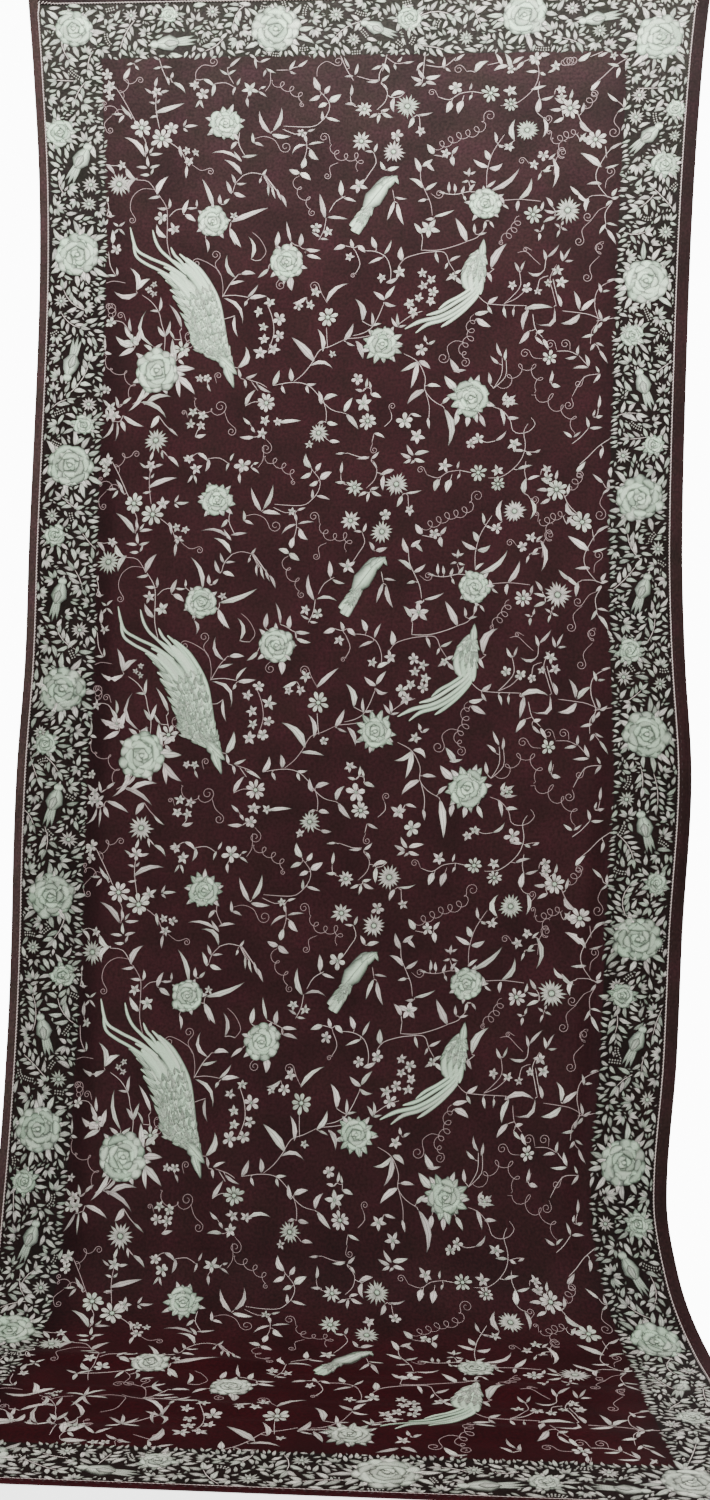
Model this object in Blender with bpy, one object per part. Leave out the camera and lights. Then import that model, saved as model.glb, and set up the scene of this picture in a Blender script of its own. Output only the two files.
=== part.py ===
"""Embroidered dupatta, hung by its top edge, with its foot end swept forward on to a floor.

Metres, +Z up. The front faces -Y. The origin is the middle of the held top edge, on the back of
the cloth. Every piece is one stretch of the same long cloth, so all of them are cut from one drape:
a place on the cloth is a distance across from the left cut edge and a distance down from the top
cut edge, and the drape turns that into a point in space.
"""
import math
from collections import namedtuple

import bpy
import bmesh
from mathutils import Vector

# The cut cloth.
CUT_WIDTH = 0.984
CUT_LENGTH = 2.450
HEM_LEFT = 0.014
HEM_RIGHT = 0.020
HEM_END = 0.010
BORDER_WIDTH = 0.088
SEAM_GAP = 0.0003

# Wall thickness of each kind of piece: plain crepe, crepe under dense stitching, turned hem.
FIELD_THICKNESS = 0.0014
BORDER_THICKNESS = 0.0020
HEM_THICKNESS = 0.0026

# The way down: straight, then a wide sweep, then a tight one, then flat on the floor.
FLOOR_LENGTH = 0.390
UPPER_SWEEP_RADIUS = 1.000
LOWER_SWEEP_RADIUS = 0.170
UPPER_SWEEP_TURN = math.radians(28.0)
FULL_TURN = math.radians(90.0)
UPPER_SWEEP_LENGTH = UPPER_SWEEP_RADIUS * UPPER_SWEEP_TURN
LOWER_SWEEP_LENGTH = LOWER_SWEEP_RADIUS * (FULL_TURN - UPPER_SWEEP_TURN)
FLOOR_START = CUT_LENGTH - FLOOR_LENGTH
LOWER_SWEEP_START = FLOOR_START - LOWER_SWEEP_LENGTH
UPPER_SWEEP_START = LOWER_SWEEP_START - UPPER_SWEEP_LENGTH

# Grid of the walls: the widest step between points, across and down. The field has close columns
# beside its seams, where the deepest folds run.
FIELD_STEP = 0.050
FIELD_EDGE = 0.060
FIELD_EDGE_STEP = 0.015
BORDER_STEP = 0.018
HANGING_STEP = 0.070
UPPER_SWEEP_STEP = 0.050
LOWER_SWEEP_STEP = 0.0155
FLOOR_STEP = 0.0155
END_STEP = 0.045
NORMAL_REACH = 0.002
STEP_SLACK = 1e-6
SHARP_ANGLE = math.radians(40.0)

# Where the two long cut edges hang, left and right of the middle, at each distance down.
Side = namedtuple("Side", "down left right")
SIDES = (
    Side(0.00, -0.511, 0.536),
    Side(0.12, -0.499, 0.523),
    Side(0.30, -0.485, 0.510),
    Side(0.50, -0.480, 0.501),
    Side(0.85, -0.485, 0.492),
    Side(1.03, -0.486, 0.496),
    Side(1.20, -0.494, 0.504),
    Side(1.38, -0.495, 0.494),
    Side(1.60, -0.490, 0.480),
    Side(1.80, -0.481, 0.456),
    Side(1.90, -0.475, 0.465),
    Side(2.03, -0.472, 0.487),
    Side(2.20, -0.477, 0.492),
    Side(2.45, -0.482, 0.505),
)

# Long soft folds that run down the hanging cloth. A fold with a negative height is a trough.
Fold = namedtuple("Fold", "across_top across_foot down_from down_to half_width height")
FOLDS = (
    Fold(0.100, 0.104, 0.55, 2.00, 0.034, -0.015),
    Fold(0.050, 0.052, 0.60, 1.98, 0.030, 0.006),
    Fold(0.876, 0.862, 0.95, 2.02, 0.036, -0.017),
    Fold(0.925, 0.918, 0.70, 2.00, 0.028, 0.007),
    Fold(0.966, 0.966, 1.00, 1.42, 0.022, 0.012),
    Fold(0.250, 0.210, 0.10, 1.30, 0.080, 0.007),
    Fold(0.400, 0.430, 0.50, 1.95, 0.090, -0.006),
    Fold(0.580, 0.600, 0.15, 1.60, 0.095, 0.008),
    Fold(0.745, 0.720, 0.70, 1.98, 0.070, 0.006),
    Fold(0.135, 0.160, 1.35, 2.02, 0.050, 0.009),
    Fold(0.330, 0.350, 1.55, 2.05, 0.055, 0.006),
    Fold(0.660, 0.640, 1.60, 2.05, 0.050, -0.005),
)

# Low ripples that lie across the cloth on the floor, each with its two ends.
Ripple = namedtuple("Ripple", "across_from across_to down_left down_right half_length height")
RIPPLES = (
    Ripple(-0.10, 0.70, 2.085, 2.110, 0.030, 0.0060),
    Ripple(0.30, 1.10, 2.165, 2.150, 0.032, 0.0050),
    Ripple(0.05, 0.62, 2.225, 2.250, 0.028, 0.0045),
    Ripple(0.45, 1.00, 2.290, 2.270, 0.030, 0.0050),
    Ripple(-0.05, 0.45, 2.322, 2.310, 0.026, 0.0035),
)

Finish = namedtuple("Finish", "color roughness")
FIELD_FINISH = Finish((0.105, 0.030, 0.042, 1.0), 0.72)
BORDER_FINISH = Finish((0.340, 0.390, 0.330, 1.0), 0.62)
HEM_FINISH = Finish((0.125, 0.060, 0.066, 1.0), 0.70)

# The pieces: where each starts and ends, in cut sizes, before the seam gap is taken off.
Piece = namedtuple("Piece", "name across_from across_to down_from down_to thickness finish")
LEFT_SEAM = HEM_LEFT + BORDER_WIDTH
RIGHT_SEAM = CUT_WIDTH - HEM_RIGHT - BORDER_WIDTH
TOP_SEAM = HEM_END + BORDER_WIDTH
FOOT_SEAM = CUT_LENGTH - HEM_END - BORDER_WIDTH
INNER_RIGHT = CUT_WIDTH - HEM_RIGHT
INNER_FOOT = CUT_LENGTH - HEM_END
PIECES = (
    Piece("field_panel", LEFT_SEAM, RIGHT_SEAM, TOP_SEAM, FOOT_SEAM, FIELD_THICKNESS, FIELD_FINISH),
    Piece("border_left", HEM_LEFT, LEFT_SEAM, TOP_SEAM, FOOT_SEAM, BORDER_THICKNESS, BORDER_FINISH),
    Piece("border_right", RIGHT_SEAM, INNER_RIGHT, TOP_SEAM, FOOT_SEAM, BORDER_THICKNESS, BORDER_FINISH),
    Piece("border_top", HEM_LEFT, INNER_RIGHT, HEM_END, TOP_SEAM, BORDER_THICKNESS, BORDER_FINISH),
    Piece("border_foot", HEM_LEFT, INNER_RIGHT, FOOT_SEAM, INNER_FOOT, BORDER_THICKNESS, BORDER_FINISH),
    Piece("hem_left", 0.0, HEM_LEFT, 0.0, CUT_LENGTH, HEM_THICKNESS, HEM_FINISH),
    Piece("hem_right", INNER_RIGHT, CUT_WIDTH, 0.0, CUT_LENGTH, HEM_THICKNESS, HEM_FINISH),
    Piece("hem_top", HEM_LEFT, INNER_RIGHT, 0.0, HEM_END, HEM_THICKNESS, HEM_FINISH),
    Piece("hem_foot", HEM_LEFT, INNER_RIGHT, INNER_FOOT, CUT_LENGTH, HEM_THICKNESS, HEM_FINISH),
)


def clamp(value, low, high):
    return max(low, min(high, value))


def hump(distance, half_width):
    """A smooth rise and fall: 1 in the middle, 0 from half_width on."""
    if abs(distance) >= half_width:
        return 0.0
    return 0.5 + 0.5 * math.cos(math.pi * distance / half_width)


def side_at(down, column):
    """Read one column of SIDES along a smooth curve through its rows."""
    last = len(SIDES) - 1
    low = 0
    while low < last - 1 and SIDES[low + 1].down <= down:
        low += 1
    rows = [SIDES[clamp(low + step, 0, last)] for step in (-1, 0, 1, 2)]
    before, start, end, after = rows
    span = end.down - start.down
    t = clamp((down - start.down) / span, 0.0, 1.0)
    values = [getattr(row, column) for row in rows]
    slope_start = (values[2] - values[0]) / max(end.down - before.down, span) * span
    slope_end = (values[3] - values[1]) / max(after.down - start.down, span) * span
    t2 = t * t
    t3 = t2 * t
    return ((2 * t3 - 3 * t2 + 1) * values[1] + (t3 - 2 * t2 + t) * slope_start
            + (3 * t2 - 2 * t3) * values[2] + (t3 - t2) * slope_end)


def way_down(down):
    """The middle line of the drape: its place in Y and Z, and how far it has turned from plumb."""
    y = 0.0
    z = -min(down, UPPER_SWEEP_START)
    turn = clamp((down - UPPER_SWEEP_START) / UPPER_SWEEP_RADIUS, 0.0, UPPER_SWEEP_TURN)
    y -= UPPER_SWEEP_RADIUS * (1.0 - math.cos(turn))
    z -= UPPER_SWEEP_RADIUS * math.sin(turn)
    if down > LOWER_SWEEP_START:
        start = turn
        turn = clamp(start + (down - LOWER_SWEEP_START) / LOWER_SWEEP_RADIUS, start, FULL_TURN)
        y -= LOWER_SWEEP_RADIUS * (math.cos(start) - math.cos(turn))
        z -= LOWER_SWEEP_RADIUS * (math.sin(turn) - math.sin(start))
    y -= max(down - FLOOR_START, 0.0)
    return y, z, turn


def fold_height(fold, across, down):
    along = (down - fold.down_from) / (fold.down_to - fold.down_from)
    middle = fold.across_top + (fold.across_foot - fold.across_top) * clamp(along, 0.0, 1.0)
    fade = hump(along - 0.5, 0.5)
    return fold.height * math.sqrt(fade) * hump(across - middle, fold.half_width)


def ripple_height(ripple, across, down):
    share = (across - ripple.across_from) / (ripple.across_to - ripple.across_from)
    middle = ripple.down_left + (ripple.down_right - ripple.down_left) * clamp(share, 0.0, 1.0)
    fade = hump(share - 0.5, 0.5)
    return ripple.height * fade * hump(down - middle, ripple.half_length)


def relief(across, down):
    folds = sum(fold_height(fold, across, down) for fold in FOLDS)
    ripples = sum(ripple_height(ripple, across, down) for ripple in RIPPLES)
    return folds + ripples


def back_point(across, down):
    """A point on the back of the hung cloth."""
    left = side_at(down, "left")
    right = side_at(down, "right")
    x = left + (right - left) * across / CUT_WIDTH
    y, z, turn = way_down(down)
    rise = relief(across, down)
    return Vector((x, y - rise * math.cos(turn), z + rise * math.sin(turn)))


def front_direction(across, down):
    """The direction out of the front of the cloth, square to it."""
    step_across = back_point(across + NORMAL_REACH, down) - back_point(across - NORMAL_REACH, down)
    low = clamp(down - NORMAL_REACH, 0.0, CUT_LENGTH)
    high = clamp(down + NORMAL_REACH, 0.0, CUT_LENGTH)
    step_down = back_point(across, high) - back_point(across, low)
    return step_down.cross(step_across).normalized()


def stops(breaks_and_steps):
    """Distances through each break, spaced evenly and no wider apart than the step before it."""
    values = [breaks_and_steps[0][0]]
    for end, step in breaks_and_steps[1:]:
        start = values[-1]
        count = max(1, math.ceil((end - start) / step - STEP_SLACK))
        values += [start + (end - start) * index / count for index in range(1, count + 1)]
    return values


ACROSS_STOPS = stops((
    (0.0, 0.0),
    (HEM_LEFT, BORDER_STEP),
    (LEFT_SEAM, BORDER_STEP),
    (LEFT_SEAM + FIELD_EDGE, FIELD_EDGE_STEP),
    (RIGHT_SEAM - FIELD_EDGE, FIELD_STEP),
    (RIGHT_SEAM, FIELD_EDGE_STEP),
    (INNER_RIGHT, BORDER_STEP),
    (CUT_WIDTH, BORDER_STEP),
))
DOWN_STOPS = stops((
    (0.0, 0.0),
    (HEM_END, END_STEP),
    (TOP_SEAM, END_STEP),
    (UPPER_SWEEP_START, HANGING_STEP),
    (LOWER_SWEEP_START, UPPER_SWEEP_STEP),
    (FLOOR_START, LOWER_SWEEP_STEP),
    (FOOT_SEAM, FLOOR_STEP),
    (INNER_FOOT, END_STEP),
    (CUT_LENGTH, END_STEP),
))


def piece_stops(all_stops, start, end, full_end):
    """The shared stops inside one piece, with its ends drawn back by half a seam gap."""
    inside = [value for value in all_stops if start + SEAM_GAP < value < end - SEAM_GAP]
    first = start if start == 0.0 else start + SEAM_GAP / 2
    last = end if end == full_end else end - SEAM_GAP / 2
    return [first] + inside + [last]


def make_finish(name, finish):
    material = bpy.data.materials.new(name + "_cloth")
    material.use_nodes = True
    shader = material.node_tree.nodes["Principled BSDF"]
    shader.inputs["Base Color"].default_value = finish.color
    shader.inputs["Roughness"].default_value = finish.roughness
    shader.inputs["Metallic"].default_value = 0.0
    material.diffuse_color = finish.color
    return material


def make_piece(piece):
    """One piece of cloth as a closed wall: its back, its front, and a rim round both.

    Back and front are split along the same diagonals, so the wall keeps its thickness.
    """
    across = piece_stops(ACROSS_STOPS, piece.across_from, piece.across_to, CUT_WIDTH)
    down = piece_stops(DOWN_STOPS, piece.down_from, piece.down_to, CUT_LENGTH)
    bm = bmesh.new()
    back = []
    front = []
    for d in down:
        back_row = []
        front_row = []
        for a in across:
            point = back_point(a, d)
            back_row.append(bm.verts.new(point))
            front_row.append(bm.verts.new(point + front_direction(a, d) * piece.thickness))
        back.append(back_row)
        front.append(front_row)
    rows = len(down) - 1
    columns = len(across) - 1
    for i in range(rows):
        for j in range(columns):
            bm.faces.new((back[i][j], back[i][j + 1], back[i + 1][j + 1]))
            bm.faces.new((back[i][j], back[i + 1][j + 1], back[i + 1][j]))
            bm.faces.new((front[i][j], front[i + 1][j + 1], front[i][j + 1]))
            bm.faces.new((front[i][j], front[i + 1][j], front[i + 1][j + 1]))
    for i in range(rows):
        bm.faces.new((back[i + 1][0], front[i + 1][0], front[i][0], back[i][0]))
        bm.faces.new((back[i][-1], front[i][-1], front[i + 1][-1], back[i + 1][-1]))
    for j in range(columns):
        bm.faces.new((back[0][j], front[0][j], front[0][j + 1], back[0][j + 1]))
        bm.faces.new((back[-1][j + 1], front[-1][j + 1], front[-1][j], back[-1][j]))
    mesh = bpy.data.meshes.new(piece.name)
    bm.to_mesh(mesh)
    bm.free()
    mesh.shade_smooth()
    mesh.set_sharp_from_angle(angle=SHARP_ANGLE)
    mesh.materials.append(make_finish(piece.name, piece.finish))
    made = bpy.data.objects.new(piece.name, mesh)
    bpy.context.scene.collection.objects.link(made)


def main():
    for old in list(bpy.data.objects):
        bpy.data.objects.remove(old, do_unlink=True)
    for piece in PIECES:
        make_piece(piece)


main()
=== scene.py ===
import math
import random
from collections import namedtuple
from functools import lru_cache

import bpy
import numpy as np
from bpy.props import FloatProperty, FloatVectorProperty, PointerProperty
from mathutils import Matrix, Vector


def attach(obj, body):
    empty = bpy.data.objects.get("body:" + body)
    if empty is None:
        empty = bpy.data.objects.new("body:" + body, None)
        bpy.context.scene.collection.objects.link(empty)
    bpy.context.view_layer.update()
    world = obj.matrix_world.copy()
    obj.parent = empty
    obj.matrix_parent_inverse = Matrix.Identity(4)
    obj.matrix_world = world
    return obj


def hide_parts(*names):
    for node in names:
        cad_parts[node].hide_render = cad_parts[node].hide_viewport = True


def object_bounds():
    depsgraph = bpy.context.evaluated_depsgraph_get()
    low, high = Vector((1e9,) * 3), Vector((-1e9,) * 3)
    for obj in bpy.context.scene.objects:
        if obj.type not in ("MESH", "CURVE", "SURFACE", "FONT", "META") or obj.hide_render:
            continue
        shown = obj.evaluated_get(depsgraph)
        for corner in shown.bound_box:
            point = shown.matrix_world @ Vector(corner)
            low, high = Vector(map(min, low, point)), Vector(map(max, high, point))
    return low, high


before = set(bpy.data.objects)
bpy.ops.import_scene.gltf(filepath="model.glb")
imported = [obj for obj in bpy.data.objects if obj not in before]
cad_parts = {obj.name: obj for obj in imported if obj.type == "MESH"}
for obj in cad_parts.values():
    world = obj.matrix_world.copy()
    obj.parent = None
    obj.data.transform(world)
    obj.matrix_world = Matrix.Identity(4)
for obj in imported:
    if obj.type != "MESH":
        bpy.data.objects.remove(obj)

bl_info = {
    "name": "Embroidered dupatta",
    "version": (1, 0, 0),
    "blender": (4, 5, 0),
    "location": "View3D > Sidebar > Dupatta",
    "description": "Builds the crepe, the edges and the silk embroidery of a long hung dupatta",
    "category": "Add Mesh",
}

CAD_LOW, CAD_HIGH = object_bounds()

# The cut cloth, in metres. A place on it is a distance across from its left cut edge and a distance
# down from its top cut edge.
CUT_WIDTH = 0.984
CUT_LENGTH = 2.450
HEM_LEFT = 0.014
HEM_RIGHT = 0.020
HEM_END = 0.010
BORDER_WIDTH = 0.088
LEFT_SEAM = HEM_LEFT + BORDER_WIDTH
RIGHT_SEAM = CUT_WIDTH - HEM_RIGHT - BORDER_WIDTH
TOP_SEAM = HEM_END + BORDER_WIDTH
FOOT_SEAM = CUT_LENGTH - HEM_END - BORDER_WIDTH
INNER_RIGHT = CUT_WIDTH - HEM_RIGHT
INNER_FOOT = CUT_LENGTH - HEM_END

# The way down: straight, a wide sweep, a tight one, then flat on the floor.
FLOOR_LENGTH = 0.390
UPPER_SWEEP_RADIUS = 1.000
LOWER_SWEEP_RADIUS = 0.170
UPPER_SWEEP_TURN = math.radians(28.0)
FULL_TURN = math.radians(90.0)
UPPER_SWEEP_LENGTH = UPPER_SWEEP_RADIUS * UPPER_SWEEP_TURN
LOWER_SWEEP_LENGTH = LOWER_SWEEP_RADIUS * (FULL_TURN - UPPER_SWEEP_TURN)
FLOOR_START = CUT_LENGTH - FLOOR_LENGTH
LOWER_SWEEP_START = FLOOR_START - LOWER_SWEEP_LENGTH
UPPER_SWEEP_START = LOWER_SWEEP_START - UPPER_SWEEP_LENGTH

# Distances down the cloth, and where its left and right cut edges hang in X there.
SIDES = np.array((
    (0.00, -0.511, 0.536), (0.12, -0.499, 0.523), (0.30, -0.485, 0.510), (0.50, -0.480, 0.501),
    (0.85, -0.485, 0.492), (1.03, -0.486, 0.496), (1.20, -0.494, 0.504), (1.38, -0.495, 0.494),
    (1.60, -0.490, 0.480), (1.80, -0.481, 0.456), (1.90, -0.475, 0.465), (2.03, -0.472, 0.487),
    (2.20, -0.477, 0.492), (2.45, -0.482, 0.505),
))
SIDE_ROWS, LEFT_SIDE, RIGHT_SIDE = SIDES.T

# Long soft folds down the hanging cloth: where each is across at its top and at its foot, how far down it
# starts and ends, half its width and its height. A fold with a negative height is a trough.
FOLDS = (
    (0.100, 0.104, 0.55, 2.00, 0.034, -0.015), (0.050, 0.052, 0.60, 1.98, 0.030, 0.006),
    (0.876, 0.862, 0.95, 2.02, 0.036, -0.017), (0.925, 0.918, 0.70, 2.00, 0.028, 0.007),
    (0.966, 0.966, 1.00, 1.42, 0.022, 0.012), (0.250, 0.210, 0.10, 1.30, 0.080, 0.007),
    (0.400, 0.430, 0.50, 1.95, 0.090, -0.006), (0.580, 0.600, 0.15, 1.60, 0.095, 0.008),
    (0.745, 0.720, 0.70, 1.98, 0.070, 0.006), (0.135, 0.160, 1.35, 2.02, 0.050, 0.009),
    (0.330, 0.350, 1.55, 2.05, 0.055, 0.006), (0.660, 0.640, 1.60, 2.05, 0.050, -0.005),
)

# Low ripples across the cloth: where each starts and ends across, how far down its two ends are, half its
# length and its height. First those on the floor, then fine creases too soft for the solids.
RIPPLES = (
    (-0.10, 0.70, 2.085, 2.110, 0.030, 0.0060), (0.30, 1.10, 2.165, 2.150, 0.032, 0.0050),
    (0.05, 0.62, 2.225, 2.250, 0.028, 0.0045), (0.45, 1.00, 2.290, 2.270, 0.030, 0.0050),
    (-0.05, 0.45, 2.322, 2.310, 0.026, 0.0035),
    (0.05, 0.60, 0.30, 0.36, 0.030, 0.0012), (0.40, 1.00, 0.52, 0.46, 0.040, 0.0014),
    (-0.05, 0.45, 0.74, 0.80, 0.036, -0.0013), (0.45, 0.95, 0.93, 0.99, 0.030, 0.0012),
    (0.02, 0.55, 1.13, 1.09, 0.034, 0.0014), (0.50, 1.05, 1.30, 1.24, 0.036, -0.0015),
    (0.05, 0.70, 1.47, 1.53, 0.030, 0.0013), (0.35, 1.00, 1.70, 1.64, 0.034, 0.0016),
    (-0.05, 0.55, 1.84, 1.88, 0.026, 0.0018), (0.40, 1.05, 1.95, 1.92, 0.022, 0.0018),
    (0.10, 0.80, 2.012, 2.030, 0.016, 0.0016), (0.20, 0.90, 2.130, 2.138, 0.011, 0.0016),
    (0.00, 0.60, 2.196, 2.184, 0.012, 0.0014), (0.30, 1.00, 2.214, 2.226, 0.012, 0.0015),
    (0.10, 0.75, 2.280, 2.272, 0.011, 0.0013),
)

# The widest steps of the grid that the drape is worked out on, and how far from a seam it stays fine.
FINE = 0.0045
COARSE = 0.0085
FOLD_ZONE = 0.060

# Heights above the back of the cloth.
CREPE_FRONT = 0.0010
HEM_FRONT = 0.0024
UNDER = -0.00015
RIM = 0.0012
CREST = 0.0017
# Thread below this height is the underside of a stitch, which comes out on the back of the cloth, drawn
# flat against it.
THROUGH = 0.0011
DRAWN_FLAT = 0.05
# Patches that overlap lie this much over one another, so that no two faces share one place.
HAIR = 0.000014

# Kinds of satin patch, in the order of their names: how far along it each station is, how wide, and how
# much painted shade lies on its middle.
PATCH_SHAPES = (
    ("a_leaf", ((0.09, 0.46, 0.5), (0.32, 1.00, 0.1), (0.60, 0.80, 0.0), (0.85, 0.34, 0.3))),
    ("b_petal", ((0.14, 0.42, 0.7), (0.44, 0.88, 0.1), (0.70, 1.00, 0.0), (0.90, 0.58, 0.4))),
    ("c_grain", ((0.09, 0.58, 0.3), (0.34, 0.97, 0.0), (0.66, 0.97, 0.0), (0.91, 0.58, 0.3))),
    ("d_lobe", ((0.06, 0.72, 0.8), (0.40, 0.96, 0.2), (0.74, 1.00, 0.0), (0.93, 0.66, 0.6))),
    ("e_sprig", ((0.16, 0.70, 0.4), (0.44, 1.00, 0.0), (0.78, 0.50, 0.1))),
    ("f_stitch", ((0.12, 0.84, 0.2), (0.88, 0.84, 0.2))),
)
LEAF, PETAL, GRAIN, LOBE, SPRIG, STITCH = range(len(PATCH_SHAPES))
VEINED = (LEAF, PETAL, SPRIG)

# Sections of a strand: the side, the height and the painted shade of each of its edges.
SECTIONS = {
    "cord_section": ((-1.0, UNDER, 0.4), (-0.75, CREST, 0.4), (0.75, CREST, 0.4), (1.0, UNDER, 0.4)),
    "strap_section": ((-1.0, UNDER, 0.5), (-1.0, RIM, 1.0), (0.0, CREST, 0.0), (1.0, RIM, 1.0),
                      (1.0, UNDER, 0.5)),
}

# Faces that meet at more than this many degrees have a sharp edge between them.
CLOTH_ANGLE = 50.0
THREAD_ANGLE = 55.0

# A thread's tone runs from pale green, 0, through ivory, 0.5, to mauve, 1. Below GREENISH it is green.
GREEN = 0.06
IVORY = 0.46
GREENISH = 0.25

# Painted light falloff on the thread: it is painted darker down the cloth, where less light falls, and
# lighter again on the floor. Each row is a distance down and a share of its light. The first is for all
# thread, the next for that of the side bands, and the last for green thread.
PAINTED_FALLOFF = ((0.08, 1.06), (0.12, 1.0), (0.30, 0.99), (0.60, 0.92), (0.90, 0.81), (1.90, 0.81), (2.10, 0.96))
SIDE_PAINTED_FALLOFF = ((0.45, 1.0), (0.80, 0.91), (1.20, 0.85), (1.90, 0.82), (2.10, 1.06))
GREEN_PAINTED_FALLOFF = ((0.20, 0.96), (0.60, 0.89), (0.95, 0.83))
# Painted light on the thread of the foot band, which lies on the floor.
FOOT_PAINTED_LIGHT = 1.06
# Painted warm light: how far green thread is shifted towards ivory where it lies on the floor.
FLOOR_PAINTED_WARMTH = ((2.00, 0.0), (2.12, 0.45))

# Where the ground's painted light changes down the cloth, below its top and on the floor: it is painted paler
# and greyer at the top and deeper red lower down and on the floor, for how the light falls; how far its red,
# green and blue drift apart from cloud to cloud; how deep its crinkles and the stitches of the silk are; and
# how much darker the turned edge is at the top.
GROUND_CHANGES = (0.05, 0.47)
FLOOR_CHANGES = (1.92, 2.10)
TINTS = ((0.95, 1.06), (1.12, 0.89), (0.97, 1.04))
CREPE_DEPTH = 0.00022
SILK_DEPTH = 0.00016
EDGE_SHADE = 0.58


def clamp(value, low, high):
    return np.minimum(np.maximum(value, low), high)


def hump(distance, half_width):
    """A smooth rise and fall: 1 in the middle, 0 from half_width on."""
    inside = np.abs(distance) < half_width
    return np.where(inside, 0.5 + 0.5 * np.cos(np.pi * distance / half_width), 0.0)


def side_at(down, values):
    """Read one side along a smooth curve through its values."""
    rows = SIDE_ROWS
    last = len(rows) - 1
    start = np.clip(np.searchsorted(rows, down, side="right") - 1, 0, last - 1)
    before = np.maximum(start - 1, 0)
    end = start + 1
    after = np.minimum(start + 2, last)
    span = rows[end] - rows[start]
    t = clamp((down - rows[start]) / span, 0.0, 1.0)
    slope_start = (values[end] - values[before]) / np.maximum(rows[end] - rows[before], span) * span
    slope_end = (values[after] - values[start]) / np.maximum(rows[after] - rows[start], span) * span
    t2 = t * t
    t3 = t2 * t
    return ((2 * t3 - 3 * t2 + 1) * values[start] + (t3 - 2 * t2 + t) * slope_start
            + (3 * t2 - 2 * t3) * values[end] + (t3 - t2) * slope_end)


def way_down(down):
    """The middle line of the drape: its place in Y and Z, and how far it has turned from plumb."""
    start = clamp((down - UPPER_SWEEP_START) / UPPER_SWEEP_RADIUS, 0.0, UPPER_SWEEP_TURN)
    y = -UPPER_SWEEP_RADIUS * (1.0 - np.cos(start))
    z = -np.minimum(down, UPPER_SWEEP_START) - UPPER_SWEEP_RADIUS * np.sin(start)
    turn = start + clamp((down - LOWER_SWEEP_START) / LOWER_SWEEP_RADIUS, 0.0, FULL_TURN - UPPER_SWEEP_TURN)
    y = y - LOWER_SWEEP_RADIUS * (np.cos(start) - np.cos(turn))
    z = z - LOWER_SWEEP_RADIUS * (np.sin(turn) - np.sin(start))
    y = y - np.maximum(down - FLOOR_START, 0.0)
    return y, z, turn


def fold_height(across, down, across_top, across_foot, down_from, down_to, half_width, height):
    along = (down - down_from) / (down_to - down_from)
    middle = across_top + (across_foot - across_top) * clamp(along, 0.0, 1.0)
    return height * np.sqrt(hump(along - 0.5, 0.5)) * hump(across - middle, half_width)


def ripple_height(across, down, across_from, across_to, down_left, down_right, half_length, height):
    share = (across - across_from) / (across_to - across_from)
    middle = down_left + (down_right - down_left) * clamp(share, 0.0, 1.0)
    return height * hump(share - 0.5, 0.5) * hump(down - middle, half_length)


def back_points(across, down):
    """Points on the back of the hung cloth, for arrays of places on it."""
    left = side_at(down, LEFT_SIDE)
    right = side_at(down, RIGHT_SIDE)
    x = left + (right - left) * across / CUT_WIDTH
    y, z, turn = way_down(down)
    rise = sum(fold_height(across, down, *fold) for fold in FOLDS)
    rise = rise + sum(ripple_height(across, down, *ripple) for ripple in RIPPLES)
    return np.stack((x, y - rise * np.cos(turn), z + rise * np.sin(turn)), axis=-1)


def stops(*breaks_and_steps):
    """Distances through each break, spaced evenly and no wider apart than the step beside it."""
    values = [0.0]
    for end, step in breaks_and_steps:
        start = values[-1]
        count = max(1, math.ceil((end - start) / step - 1e-6))
        values += [start + (end - start) * index / count for index in range(1, count + 1)]
    return np.array(values)


ACROSS = stops((HEM_LEFT, FINE), (LEFT_SEAM, FINE), (LEFT_SEAM + FOLD_ZONE, FINE),
               (RIGHT_SEAM - FOLD_ZONE, COARSE), (RIGHT_SEAM, FINE), (INNER_RIGHT, FINE), (CUT_WIDTH, FINE))
DOWN = stops((HEM_END, FINE), (TOP_SEAM, COARSE), (UPPER_SWEEP_START, COARSE), (LOWER_SWEEP_START, COARSE),
             (FLOOR_START, FINE), (FOOT_SEAM, FINE), (INNER_FOOT, FINE), (CUT_LENGTH, FINE))


class Cloth:
    """The draped cloth on a fine grid, and the way from flat places on it to points in space."""

    def __init__(self):
        down, across = np.meshgrid(DOWN, ACROSS, indexing="ij")
        self.points = back_points(across, down)
        along_down = np.gradient(self.points, DOWN, axis=0)
        along_across = np.gradient(self.points, ACROSS, axis=1)
        normals = np.cross(along_down, along_across)
        self.normals = normals / np.linalg.norm(normals, axis=-1, keepdims=True)

    def lay(self, across, down, height):
        """Points at these places, raised by height from the back of the cloth."""
        i = np.clip(np.searchsorted(DOWN, down, side="right") - 1, 0, len(DOWN) - 2)
        j = np.clip(np.searchsorted(ACROSS, across, side="right") - 1, 0, len(ACROSS) - 2)
        s = ((down - DOWN[i]) / (DOWN[i + 1] - DOWN[i]))[:, None]
        t = ((across - ACROSS[j]) / (ACROSS[j + 1] - ACROSS[j]))[:, None]

        def blend(grid):
            upper = grid[i, j] * (1 - t) + grid[i, j + 1] * t
            lower = grid[i + 1, j] * (1 - t) + grid[i + 1, j + 1] * t
            return upper * (1 - s) + lower * s

        return blend(self.points) + blend(self.normals) * height[:, None]


CLOTH = Cloth()


def colour(name, description, value):
    """A setting for a colour."""
    return FloatVectorProperty(name=name, description=description, default=value, size=3, min=0.0, max=1.0,
                               subtype="COLOR")


def metres(name, description, value, low, high):
    """A setting for a length in metres."""
    return FloatProperty(name=name, description=description, default=value, min=low, max=high, unit="LENGTH")


def amount(name, description, value, **limits):
    """A setting for a strength or a power."""
    return FloatProperty(name=name, description=description, default=value, min=0.0, **limits)


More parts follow.
